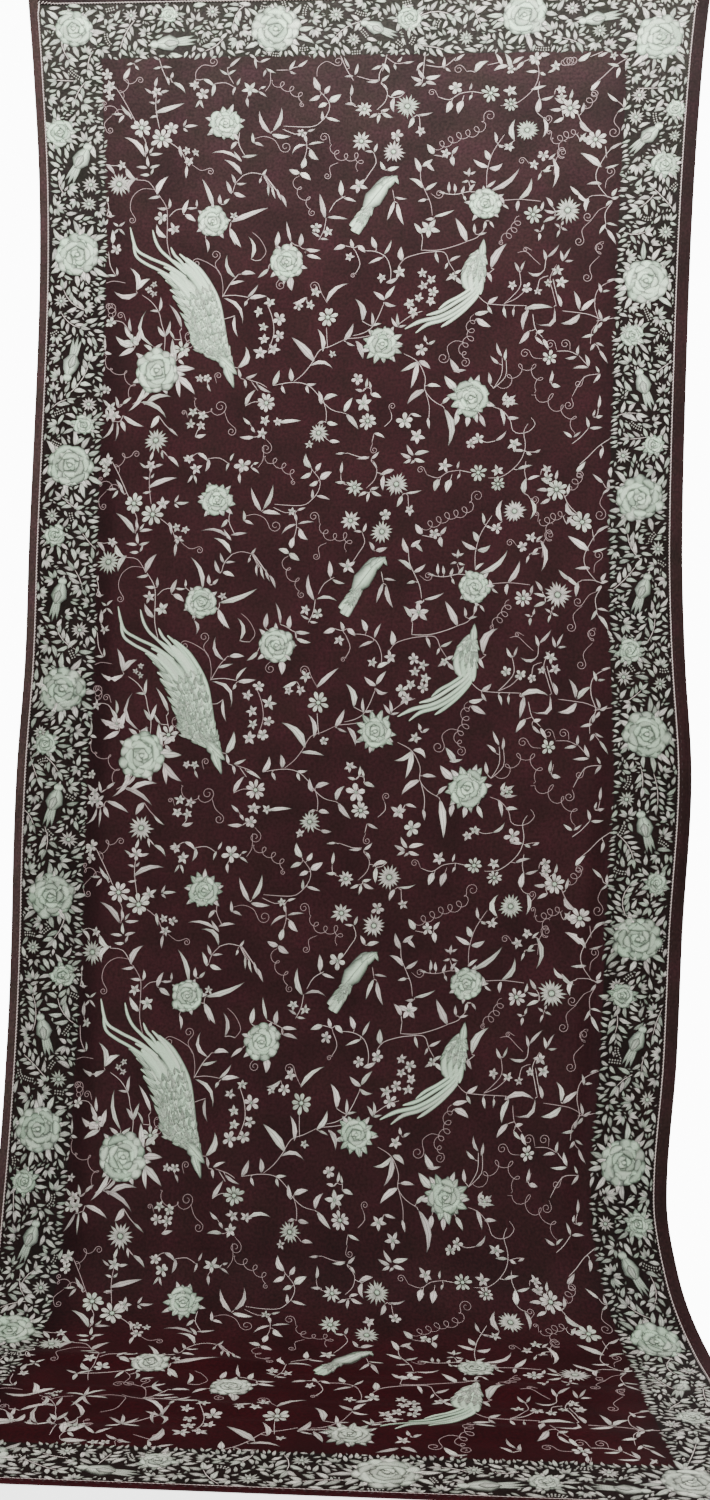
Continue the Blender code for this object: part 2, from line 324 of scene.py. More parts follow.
class CrepeSettings(bpy.types.PropertyGroup):
    """The woven cloth."""

    # Painted light: the ground colours are paler and greyer near the held edge and deeper red lower down and
    # on the floor, for how the light falls.
    top_ground: colour("Ground at the top", "Colour of the crepe near the held edge",
                       (0.0240, 0.0138, 0.0134))
    foot_ground: colour("Ground at the foot", "Colour of the crepe below its first half metre",
                        (0.0188, 0.0053, 0.0061))
    floor_ground: colour("Ground on the floor", "Colour of the crepe where it lies flat",
                         (0.0175, 0.0009, 0.0020))
    # Painted shade: the border ground stands for the dark shade between the dense stitches, and is painted
    # lighter near the held edge.
    border_top: colour("Border ground at the top", "Colour between the border's stitches near the held edge",
                       (0.0200, 0.0178, 0.0147))
    border_foot: colour("Border ground lower down", "Colour between the border's stitches farther down",
                        (0.0065, 0.0033, 0.0027))
    edge_foot: colour("Edge lower down", "Colour of the turned edges farther down", (0.0160, 0.0066, 0.0063))
    # Painted light: the left turned edge is painted lighter where it catches the light.
    left_edge: colour("Left edge", "Colour of the left turned edge, which catches the light",
                      (0.0325, 0.0186, 0.0170))
    grain: metres("Grain", "Size of one crinkle of the crepe", 0.0011, 0.0003, 0.01)
    sheen: amount("Sheen", "Strength of the soft shine of the nap", 0.05, max=1.0, subtype="FACTOR")


class ThreadSettings(bpy.types.PropertyGroup):
    """The embroidery thread."""

    green: colour("Pale green", "Thread of the roses and birds", (0.62, 0.86, 0.60))
    ivory: colour("Ivory", "Thread of the leaves and blossoms", (0.955, 0.875, 0.795))
    mauve: colour("Mauve", "Thread of the stems and tendrils", (0.37, 0.235, 0.245))
    pitch: metres("Thread pitch", "Distance from one stitch to the next", 0.0008, 0.0002, 0.005)
    stem: metres("Stem", "Half the width of a stem", 0.00050, 0.0002, 0.005)
    tendril: metres("Tendril", "Half the width of a tendril", 0.00037, 0.0002, 0.005)


class EdgeSettings(bpy.types.PropertyGroup):
    """The pale line outside the borders and the sewing of the turned edges."""

    line_stitch: metres("Line stitch", "Length of one stitch of the pale line", 0.0046, 0.001, 0.02)
    line_width: metres("Line width", "Width of the pale line", 0.0022, 0.001, 0.01)
    hem_stitch: metres("Hem stitch", "Distance between the stitches of the turned edge", 0.0110, 0.002, 0.03)


class StageSettings(bpy.types.PropertyGroup):
    """The floor and the light."""

    key_power: amount("Key light", "Power of the soft light in front, in watts", 186.0)
    fill_power: amount("Fill light", "Power of the soft light at the side, in watts", 8.0)
    behind_power: amount("Light behind", "Power of the soft light behind the cloth, in watts", 70.0)
    air: amount("Room light", "Strength of the even light all round", 0.15)
    backdrop: amount("Backdrop", "Brightness of the empty air behind the cloth", 12.0)
    floor_colour: colour("Floor", "Colour of the floor", (0.9, 0.9, 0.9))
    floor_glow: amount("Floor light", "How far the pale floor is lit from below", 2.0)


GEOMETRY = "NodeSocketGeometry"
OBJECTS = "NodeSocketCollection"
THREAD = "NodeSocketMaterial"
COLOUR = "NodeSocketColor"
NUMBER = "NodeSocketFloat"
PLACE = "NodeSocketVector"


class Tree:
    """A node tree being built: each call places a node, sets its fields and feeds its inputs."""

    def __init__(self, tree):
        self.tree = tree

    def feed(self, node, feeds):
        for key, value in feeds.items():
            if isinstance(value, bpy.types.NodeSocket):
                self.tree.links.new(value, node.inputs[key])
            else:
                node.inputs[key].default_value = value
        return node

    def put(self, kind, feeds=None, **fields):
        node = self.tree.nodes.new(kind)
        for field, value in fields.items():
            setattr(node, field, value)
        return self.feed(node, feeds or {})

    def math(self, operation, first, second=0.0):
        return self.put("ShaderNodeMath", {0: first, 1: second}, operation=operation).outputs[0]

    def times(self, first, *others):
        """The product of all of these."""
        for other in others:
            first = self.math("MULTIPLY", first, other)
        return first

    def plus(self, first, second):
        return self.math("ADD", first, second)

    def sine(self, value):
        return self.math("SINE", value)

    def named(self, name, data_type="FLOAT"):
        node = self.put("GeometryNodeInputNamedAttribute", {"Name": name}, data_type=data_type)
        return node.outputs["Attribute"]

    def vector(self, x=0.0, y=0.0, z=0.0):
        return self.put("ShaderNodeCombineXYZ", {0: x, 1: y, 2: z}).outputs[0]

    def parts(self, vector):
        return self.put("ShaderNodeSeparateXYZ", {0: vector}).outputs

    def mix(self, share, first, second):
        return self.put("ShaderNodeMix", {0: share, 6: first, 7: second}, data_type="RGBA").outputs[2]

    def shaded(self, base, *shades):
        """A colour whose red, green and blue are each multiplied by a shade."""
        feeds = {0: base, 1: self.vector(*shades)}
        return self.put("ShaderNodeVectorMath", feeds, operation="MULTIPLY").outputs[0]

    def ramp(self, value, low, high, to_low=0.0, to_high=1.0):
        feeds = {"Value": value, "From Min": low, "From Max": high, "To Min": to_low, "To Max": to_high}
        return self.put("ShaderNodeMapRange", feeds).outputs[0]

    def noise(self, place, scale, detail, roughness=0.5):
        feeds = {"Vector": place, "Scale": scale, "Detail": detail, "Roughness": roughness}
        return self.put("ShaderNodeTexNoise", feeds).outputs[0]


def new_group(name, kind, takes, gives):
    """An empty node group with named inputs and outputs, and what stands for them in its tree."""
    tree = bpy.data.node_groups.new(name, kind)
    for label, socket_type, *default in takes:
        made = tree.interface.new_socket(label, in_out="INPUT", socket_type=socket_type)
        if default:
            made.default_value = default[0]
    for label, socket_type in gives:
        tree.interface.new_socket(label, in_out="OUTPUT", socket_type=socket_type)
    build = Tree(tree)
    return build, build.put("NodeGroupInput").outputs, build.put("NodeGroupOutput")


def get_group(name, maker):
    return bpy.data.node_groups.get(name) or maker(name)


def patches_on(build, given, points, kind, turn, size):
    """A patch of this kind, turn and size at every point, as real faces, and its flat places."""
    shapes = build.put("GeometryNodeCollectionInfo",
                       {"Collection": given["Shapes"], "Separate Children": True, "Reset Children": True})
    rotation = build.put("FunctionNodeEulerToRotation", {0: build.vector(z=turn)}).outputs[0]
    placed = build.put("GeometryNodeInstanceOnPoints", {
        "Points": points, "Instance": shapes.outputs[0], "Pick Instance": True, "Instance Index": kind,
        "Rotation": rotation, "Scale": size})
    real = build.put("GeometryNodeRealizeInstances", {"Geometry": placed.outputs[0]})
    return real.outputs[0], build.parts(build.named("patch", "FLOAT_VECTOR"))


def work_in_thread(build, given, out, geometry, run):
    """End a tree: keep where each corner is along and across its stitch, and set the thread's material."""
    mapped = build.put("GeometryNodeStoreNamedAttribute",
                       {"Geometry": geometry, "Name": "thread", "Value": run},
                       data_type="FLOAT2", domain="CORNER")
    worn = build.put("GeometryNodeSetMaterial", {"Geometry": mapped.outputs[0], "Material": given["Thread"]})
    build.feed(out, {"Geometry": worn.outputs[0]})
    return build.tree


def make_patch_tree(name):
    """One padded patch of satin stitch at every point, by the point's own kind, size, turn and bow."""
    takes = (("Places", GEOMETRY), ("Shapes", OBJECTS), ("Thread", THREAD))
    build, given, out = new_group(name, "GeometryNodeTree", takes, (("Geometry", GEOMETRY),))
    turn, reach, breadth = (build.named(field) for field in ("turn", "reach", "breadth"))
    real, flat = patches_on(build, given, given["Places"], build.named("kind", "INT"), turn,
                            build.vector(reach, breadth, 1.0))
    swell = build.times(flat[0], build.math("SUBTRACT", 1.0, flat[0]), 4.0)
    shift = build.times(swell, build.named("bow"), reach)
    sideways = build.vector(build.times(shift, -1.0, build.sine(turn)),
                            build.times(shift, build.math("COSINE", turn)))
    bowed = build.put("GeometryNodeSetPosition", {"Geometry": real, "Offset": sideways})
    run = build.vector(build.times(flat[0], reach), build.times(flat[1], breadth))
    return work_in_thread(build, given, out, bowed.outputs[0], run)


def make_strand_tree(name):
    """A strand of thread along every path, as wide as its points say, with one section all the way."""
    takes = (("Paths", GEOMETRY), ("Section", "NodeSocketObject"), ("Thread", THREAD))
    build, given, out = new_group(name, "GeometryNodeTree", takes, (("Geometry", GEOMETRY),))
    path = build.put("GeometryNodeMeshToCurve", {"Mesh": given["Paths"]})
    level = build.put("GeometryNodeSetCurveNormal", {"Curve": path.outputs[0]}, mode="Z_UP")
    along = build.put("GeometryNodeSplineParameter").outputs["Length"]
    measured = build.put("GeometryNodeStoreNamedAttribute",
                         {"Geometry": level.outputs[0], "Name": "run", "Value": along},
                         data_type="FLOAT", domain="POINT")
    section = build.put("GeometryNodeObjectInfo", {"Object": given["Section"]})
    outline = build.put("GeometryNodeMeshToCurve", {"Mesh": section.outputs["Geometry"]})
    body = build.put("GeometryNodeCurveToMesh", {
        "Curve": measured.outputs[0], "Profile Curve": outline.outputs[0], "Scale": build.named("half_width"),
        "Fill Caps": True})
    place = build.parts(build.put("GeometryNodeInputPosition").outputs[0])
    height = build.plus(build.named("level"), build.named("lift"))
    flat = build.put("GeometryNodeSetPosition",
                     {"Geometry": body.outputs[0], "Position": build.vector(place[0], place[1], height)})
    side = build.times(build.named("side"), build.named("half_width"))
    return work_in_thread(build, given, out, flat.outputs[0], build.vector(build.named("run"), side))


def make_row_tree(name):
    """A row of stitches along a path, each one turned a little off the line."""
    takes = (("Path", GEOMETRY), ("Shapes", OBJECTS), ("Kind", "NodeSocketInt", 0), ("Pitch", NUMBER, 0.005),
             ("Stitch", PLACE), ("Slant", NUMBER, 0.0), ("Thread", THREAD))
    build, given, out = new_group(name, "GeometryNodeTree", takes, (("Geometry", GEOMETRY),))
    path = build.put("GeometryNodeMeshToCurve", {"Mesh": given["Path"]})
    points = build.put("GeometryNodeCurveToPoints", {"Curve": path.outputs[0]}, mode="LENGTH")
    build.tree.links.new(given["Pitch"], next(item for item in points.inputs if item.name == "Length"))
    tangent = build.parts(points.outputs["Tangent"])
    turn = build.plus(build.math("ARCTAN2", tangent[1], tangent[0]), given["Slant"])
    real, flat = patches_on(build, given, points.outputs["Points"], given["Kind"], turn, given["Stitch"])
    stitch = build.parts(given["Stitch"])
    run = build.vector(build.times(flat[0], stitch[0]), build.times(flat[1], stitch[1]))
    return work_in_thread(build, given, out, real, run)


def make_grain_group(name):
    """Crinkled crepe: its cross weave, its crinkle and slow drifts of shade, from a place in metres."""
    takes = (("Place", PLACE), ("Grain", NUMBER, 0.001))
    gives = (("Height", NUMBER), ("Shade", NUMBER), ("Tint", NUMBER))
    build, given, out = new_group(name, "ShaderNodeTree", takes, gives)
    place = given["Place"]
    finer = build.math("DIVIDE", 1.0, given["Grain"])
    crinkle = build.noise(place, finer, 2.0, 0.6)
    x, y, _ = build.parts(place)
    weft, warp = (build.sine(build.times(side, build.times(finer, 9.0))) for side in (y, x))
    drift = build.ramp(build.noise(place, 13.0, 3.0, 0.55), 0.32, 0.68, 0.75, 1.19)
    fleck = build.ramp(crinkle, 0.25, 0.75, 0.82, 1.18)
    mottle = build.ramp(build.noise(place, 260.0, 1.0), 0.30, 0.70, 0.66, 1.32)
    build.feed(out, {
        "Height": build.plus(crinkle, build.times(build.plus(weft, warp), 0.12)),
        "Shade": build.times(drift, build.times(fleck, mottle)),
        "Tint": build.ramp(build.noise(place, 26.0, 4.0, 0.6), 0.32, 0.68)})
    return build.tree


def make_silk_group(name):
    """Silk in satin stitch: its colour by tone, its stitches, a leaf's vein and the painted shade at its rim.
    """
    takes = (("Green", COLOUR), ("Ivory", COLOUR), ("Mauve", COLOUR), ("Pitch", NUMBER, 0.001),
             ("Place", PLACE), ("Tone", NUMBER, 0.5), ("Light", NUMBER, 1.0), ("Edge", NUMBER, 0.0),
             ("Vein", NUMBER, 0.0), ("Rim", NUMBER, 0.6))
    gives = (("Color", COLOUR), ("Height", NUMBER), ("Shine", NUMBER))
    build, given, out = new_group(name, "ShaderNodeTree", takes, gives)
    pale = build.mix(build.ramp(given["Tone"], 0.0, 0.5), given["Green"], given["Ivory"])
    thread = build.mix(build.ramp(given["Tone"], 0.5, 1.0), pale, given["Mauve"])
    x, y, _ = build.parts(given["Place"])
    off = build.math("ABSOLUTE", y)
    phase = build.math("DIVIDE", build.plus(x, build.times(off, 0.8)), given["Pitch"])
    wander = build.noise(given["Place"], 420.0, 1.0)
    strand = build.sine(build.plus(build.times(phase, 6.283), wander))
    bundle = build.sine(build.plus(build.times(phase, 1.9), build.times(wander, 5.0)))
    # Painted shade: each patch darkens towards its rim, for the shade in the grooves between patches.
    rim = build.ramp(given["Edge"], 0.32, 0.96, 1.0, given["Rim"])
    groove = build.times(given["Vein"], build.ramp(off, 0.0002, 0.0012, 0.62, 0.0))
    ribbed = build.ramp(bundle, -1.0, 0.6, 0.66, 1.05)
    light = build.times(rim, build.math("SUBTRACT", 1.0, groove), build.times(given["Light"], ribbed))
    build.feed(out, {"Color": build.shaded(thread, light, light, light),
                     "Height": build.ramp(strand, -1.0, 1.0),
                     "Shine": build.ramp(ribbed, 0.66, 1.05, 0.54, 0.42)})
    return build.tree


def new_material(name):
    material = bpy.data.materials.new(name)
    material.use_nodes = True
    return Tree(material.node_tree), material, material.node_tree.nodes["Principled BSDF"]


def bump(build, height, distance):
    return build.put("ShaderNodeBump", {"Strength": 0.6, "Distance": distance, "Height": height}).outputs[0]


def group_node(build, name, maker, feeds):
    return build.put("ShaderNodeGroup", feeds, node_tree=get_group(name, maker)).outputs


def painted_fold_shade(build, across, down):
    """Painted shade: the field is darkened in a soft strip beside the bands, for the shade of the fold their
    weight draws it into.
    """
    strip_shade = build.ramp(down, 0.10, 0.95, 0.90, 0.52)
    left = build.ramp(across, LEFT_SEAM + 0.006, LEFT_SEAM + 0.042, strip_shade, 1.0)
    right = build.ramp(across, RIGHT_SEAM - 0.030, RIGHT_SEAM - 0.004, 1.0, 0.74)
    return build.times(left, right)


def crepe_material(name, settings, top, foot, resting, with_fold_shade=False):
    """Dark plum crepe, with painted light: paler and greyer near the held edge, deeper red farther down and
    where it rests on the floor.
    """
    build, material, shader = new_material(name)
    place = build.put("ShaderNodeUVMap", uv_map="cloth").outputs[0]
    grain = group_node(build, "crepe_grain", make_grain_group, {"Place": place, "Grain": settings.grain})
    across, down, _ = build.parts(place)
    # Painted light: the ground is mixed from its top colour to its foot colour, then to its floor colour.
    ground = build.mix(build.ramp(down, *GROUND_CHANGES), (*top, 1.0), (*foot, 1.0))
    ground = build.mix(build.ramp(down, *FLOOR_CHANGES), ground, (*resting, 1.0))
    # Painted shade: the field's strip beside the bands is darkened.
    shade = build.times(grain["Shade"], painted_fold_shade(build, across, down)) if with_fold_shade else grain["Shade"]
    shades = [build.times(shade, build.ramp(grain["Tint"], 0.0, 1.0, first, second))
              for first, second in TINTS]
    build.feed(shader, {
        "Base Color": build.shaded(ground, *shades),
        "Roughness": build.ramp(grain["Height"], 0.2, 0.9, 0.70, 0.88),
        "Sheen Weight": settings.sheen, "Sheen Roughness": 0.45, "Sheen Tint": (0.75, 0.42, 0.45, 1.0),
        "Specular IOR Level": 0.08, "Normal": bump(build, grain["Height"], CREPE_DEPTH)})
    return material


def silk_material(name, settings, tone=None, light=1.0, rim=0.42):
    """Embroidery thread. Its tone and light come from the piece's own points, or from one given tone."""
    build, material, shader = new_material(name)
    own = {key.title(): build.put("ShaderNodeAttribute", attribute_name=key).outputs["Fac"]
           for key in ("tone", "light", "edge", "vein")}
    feeds = {
        "Green": (*settings.green, 1.0), "Ivory": (*settings.ivory, 1.0), "Mauve": (*settings.mauve, 1.0),
        "Pitch": settings.pitch, "Place": build.put("ShaderNodeUVMap", uv_map="thread").outputs[0],
        "Rim": rim, **own}
    if tone is not None:
        feeds.update(Tone=tone, Light=light)
    silk = group_node(build, "satin_silk", make_silk_group, feeds)
    build.feed(shader, {
        "Base Color": silk["Color"], "Roughness": silk["Shine"], "Sheen Weight": 0.10,
        "Sheen Roughness": 0.35, "Specular IOR Level": 0.35,
        "Normal": bump(build, silk["Height"], SILK_DEPTH)})
    return material


def get_silk(name="satin_silk", **wishes):
    return bpy.data.materials.get(name) or silk_material(name, bpy.context.scene.dupatta_thread, **wishes)


def new_mesh(name, points, edges=(), faces=()):
    mesh = bpy.data.meshes.new(name)
    mesh.from_pydata(points, edges, faces)
    return mesh


def new_object(name, data):
    made = bpy.data.objects.new(name, data)
    bpy.context.scene.collection.objects.link(made)
    return made


def keep(mesh, name, values, kind="FLOAT"):
    """Give every point of a mesh its own value under this name."""
    mesh.attributes.new(name, kind, "POINT").data.foreach_set("value", values)


def ring(count):
    """Each number below count with the one after it, the last with the first."""
    return [(index, (index + 1) % count) for index in range(count)]


def hand_over(name, mesh):
    """Make a mesh a piece of the part: it rides on the cloth's one body."""
    piece = new_object(name, mesh)
    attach(piece, "root")
    return piece


def patch_mesh(name, stations, vein):
    """One patch of padded satin stitch, one unit long and one wide, with a rim and a low crest."""
    rows = [(0.0, 0.0, RIM, 1.0)]
    for along, width, shade in stations:
        half = width / 2.0
        rows += [(along, side, height, edge)
                 for side, height, edge in ((-half, UNDER, 0.5), (-half, RIM, 1.0), (0.0, CREST, shade),
                                            (half, RIM, 1.0), (half, UNDER, 0.5))]
    rows.append((1.0, 0.0, RIM, 1.0))
    size = 5
    last = 1 + (len(stations) - 1) * size
    faces = [(here + index, here + size + index, here + size + after, here + after)
             for here in range(1, last, size) for index, after in ring(size)]
    for index, after in ring(size):
        faces.append((0, 1 + index, 1 + after))
        faces.append((len(rows) - 1, last + after, last + index))
    mesh = new_mesh(name, [row[:3] for row in rows], faces=faces)
    # The edge values set the painted shade: darkest at the rim.
    keep(mesh, "edge", [row[3] for row in rows])
    keep(mesh, "vein", [vein] * len(rows))
    layer = mesh.uv_layers.new(name="patch")
    layer.data.foreach_set("uv", [value for loop in mesh.loops for value in rows[loop.vertex_index][:2]])
    return mesh


def patch_shapes():
    """The collection of patch shapes, made when first asked for."""
    shapes = bpy.data.collections.get("patch_shapes")
    if shapes is None:
        shapes = bpy.data.collections.new("patch_shapes")
        for kind, (name, stations) in enumerate(PATCH_SHAPES):
            mesh = patch_mesh(name, stations, 1.0 if kind in VEINED else 0.0)
            shapes.objects.link(bpy.data.objects.new(name, mesh))
    return shapes


def strand_section(name):
    """The outline of a strand, half a unit high for each width, with the heights it is to have."""
    section = bpy.data.objects.get(name)
    if section is None:
        rows = SECTIONS[name]
        points = [(side, 0.5 if height > 0 else -0.5, 0.0) for side, height, _ in rows]
        mesh = new_mesh(name, points, ring(len(rows)))
        for field, values in zip(("side", "level", "edge"), zip(*rows)):
            keep(mesh, field, values)
        section = bpy.data.objects.new(name, mesh)
    return section


def run_tree(name, mesh, tree, values):
    """Run a geometry tree on a mesh and give back what it makes as a plain mesh."""
    carrier = new_object(name, mesh)
    modifier = carrier.modifiers.new(tree.name, "NODES")
    modifier.node_group = tree
    for item in tree.interface.items_tree:
        if item.in_out == "INPUT" and item.name in values:
            modifier[item.identifier] = values[item.name]
    graph = bpy.context.evaluated_depsgraph_get()
    made = bpy.data.meshes.new_from_object(carrier.evaluated_get(graph), preserve_all_data_layers=True,
                                           depsgraph=graph)
    carrier.modifiers.clear()
    bpy.data.objects.remove(carrier)
    bpy.data.meshes.remove(mesh)
    if not made.polygons:
        raise RuntimeError(f"{name}: the geometry tree made nothing")
    made.name = name
    return made


def smooth(mesh, angle):
    """Shade a mesh smooth, but for edges sharper than this many degrees."""
    mesh.shade_smooth()
    mesh.set_sharp_from_angle(angle=math.radians(angle))


def sew(name, mesh, tree, values):
    """Run a tree on a flat mesh, carry what it makes to the draped cloth, its underside through it, and
    hand it over. The cloth's top is at the flat mesh's own top."""
    made = run_tree(name, mesh, tree, values)
    points = np.empty(len(made.vertices) * 3)
    made.vertices.foreach_get("co", points)
    across, up, height = points.reshape(-1, 3).T
    height = np.where(height < THROUGH, UNDER + (height - UNDER) * DRAWN_FLAT, height)
    made.vertices.foreach_set("co", CLOTH.lay(across, -up, height).reshape(-1))
    made.update()
    smooth(made, THREAD_ANGLE)
    for spare in "turn reach breadth bow kind lift level side half_width run patch".split():
        found = made.attributes.get(spare)
        if found:
            made.attributes.remove(found)
    return hand_over(name, made)


Patch = namedtuple("Patch", "across down lift turn reach breadth bow kind tone light")
Strand = namedtuple("Strand", "places half_widths lift tone light")


def patch(base, tip, breadth, kind, bow=0.0, tone=IVORY, light=1.0, lift=0.0):
    """A patch from its base to its tip, both places on the flat cloth."""
    across = tip[0] - base[0]
    up = base[1] - tip[1]
    return Patch(*base, lift, math.atan2(up, across), math.hypot(across, up), breadth, bow, kind, tone, light)


def read_off(down, rows):
    """The value at a distance down, from rows of a distance and a value."""
    return float(np.interp(down, *zip(*rows)))


def painted_falloff(across, down, tone):
    """The painted light falloff of the thread at a place: it is painted darker down the cloth, most of all in
    the side bands.
    """
    painted_share = read_off(down, PAINTED_FALLOFF)
    if across < LEFT_SEAM or across > RIGHT_SEAM:
        painted_share *= read_off(down, SIDE_PAINTED_FALLOFF)
    if down > FOOT_SEAM:
        painted_share *= FOOT_PAINTED_LIGHT
    if tone < GREENISH:
        painted_share *= read_off(down, GREEN_PAINTED_FALLOFF)
    return painted_share


def painted_warmth(tone, down):
    """A tone with painted warm light where the thread lies on the floor: there green thread is shifted
    towards ivory.
    """
    return tone + read_off(down, FLOOR_PAINTED_WARMTH) * max(0.0, 0.5 - tone)


def sew_patches(name, patches, material=None):
    """Work patches in thread, lay them on the crepe and hand them over as one piece."""
    if not patches:
        raise RuntimeError(f"{name}: no patches to sew")
    mesh = new_mesh(name + "_places", [(row.across, -row.down, row.lift + HAIR * (index % 7))
                                       for index, row in enumerate(patches)])
    for field in ("turn", "reach", "breadth", "bow"):
        keep(mesh, field, [getattr(row, field) for row in patches])
    # Painted warm light: on the floor each patch's tone is shifted towards ivory.
    keep(mesh, "tone", [painted_warmth(row.tone, row.down) for row in patches])
    # Painted light falloff: each patch's light is painted darker down the cloth.
    keep(mesh, "light", [row.light * painted_falloff(row.across, row.down, row.tone) for row in patches])
    keep(mesh, "kind", [row.kind for row in patches], "INT")
    values = {"Shapes": patch_shapes(), "Thread": material or get_silk()}
    return sew(name, mesh, get_group("satin_patches", make_patch_tree), values)


def sew_strands(name, strands, section, material=None):
    """Couch strands of thread along their paths, lay them on the crepe and hand them over."""
    if not strands:
        raise RuntimeError(f"{name}: no strands to sew")
    edges = []
    for strand in strands:
        start = edges[-1][1] + 1 if edges else 0
        edges += [(index, index + 1) for index in range(start, start + len(strand.places) - 1)]
    points = [(across, -down, 0.0) for strand in strands for across, down in strand.places]
    mesh = new_mesh(name + "_paths", points, edges)
    keep(mesh, "half_width", [width for strand in strands for width in strand.half_widths])
    for field in ("lift", "tone"):
        keep(mesh, field, [getattr(strand, field) for strand in strands for _ in strand.places])
    # Painted light falloff: each place's light is painted darker down the cloth.
    keep(mesh, "light", [strand.light * painted_falloff(across, down, strand.tone)
                         for strand in strands for across, down in strand.places])
    values = {"Section": strand_section(section), "Thread": material or get_silk()}
    return sew(name, mesh, get_group("couched_strands", make_strand_tree), values)
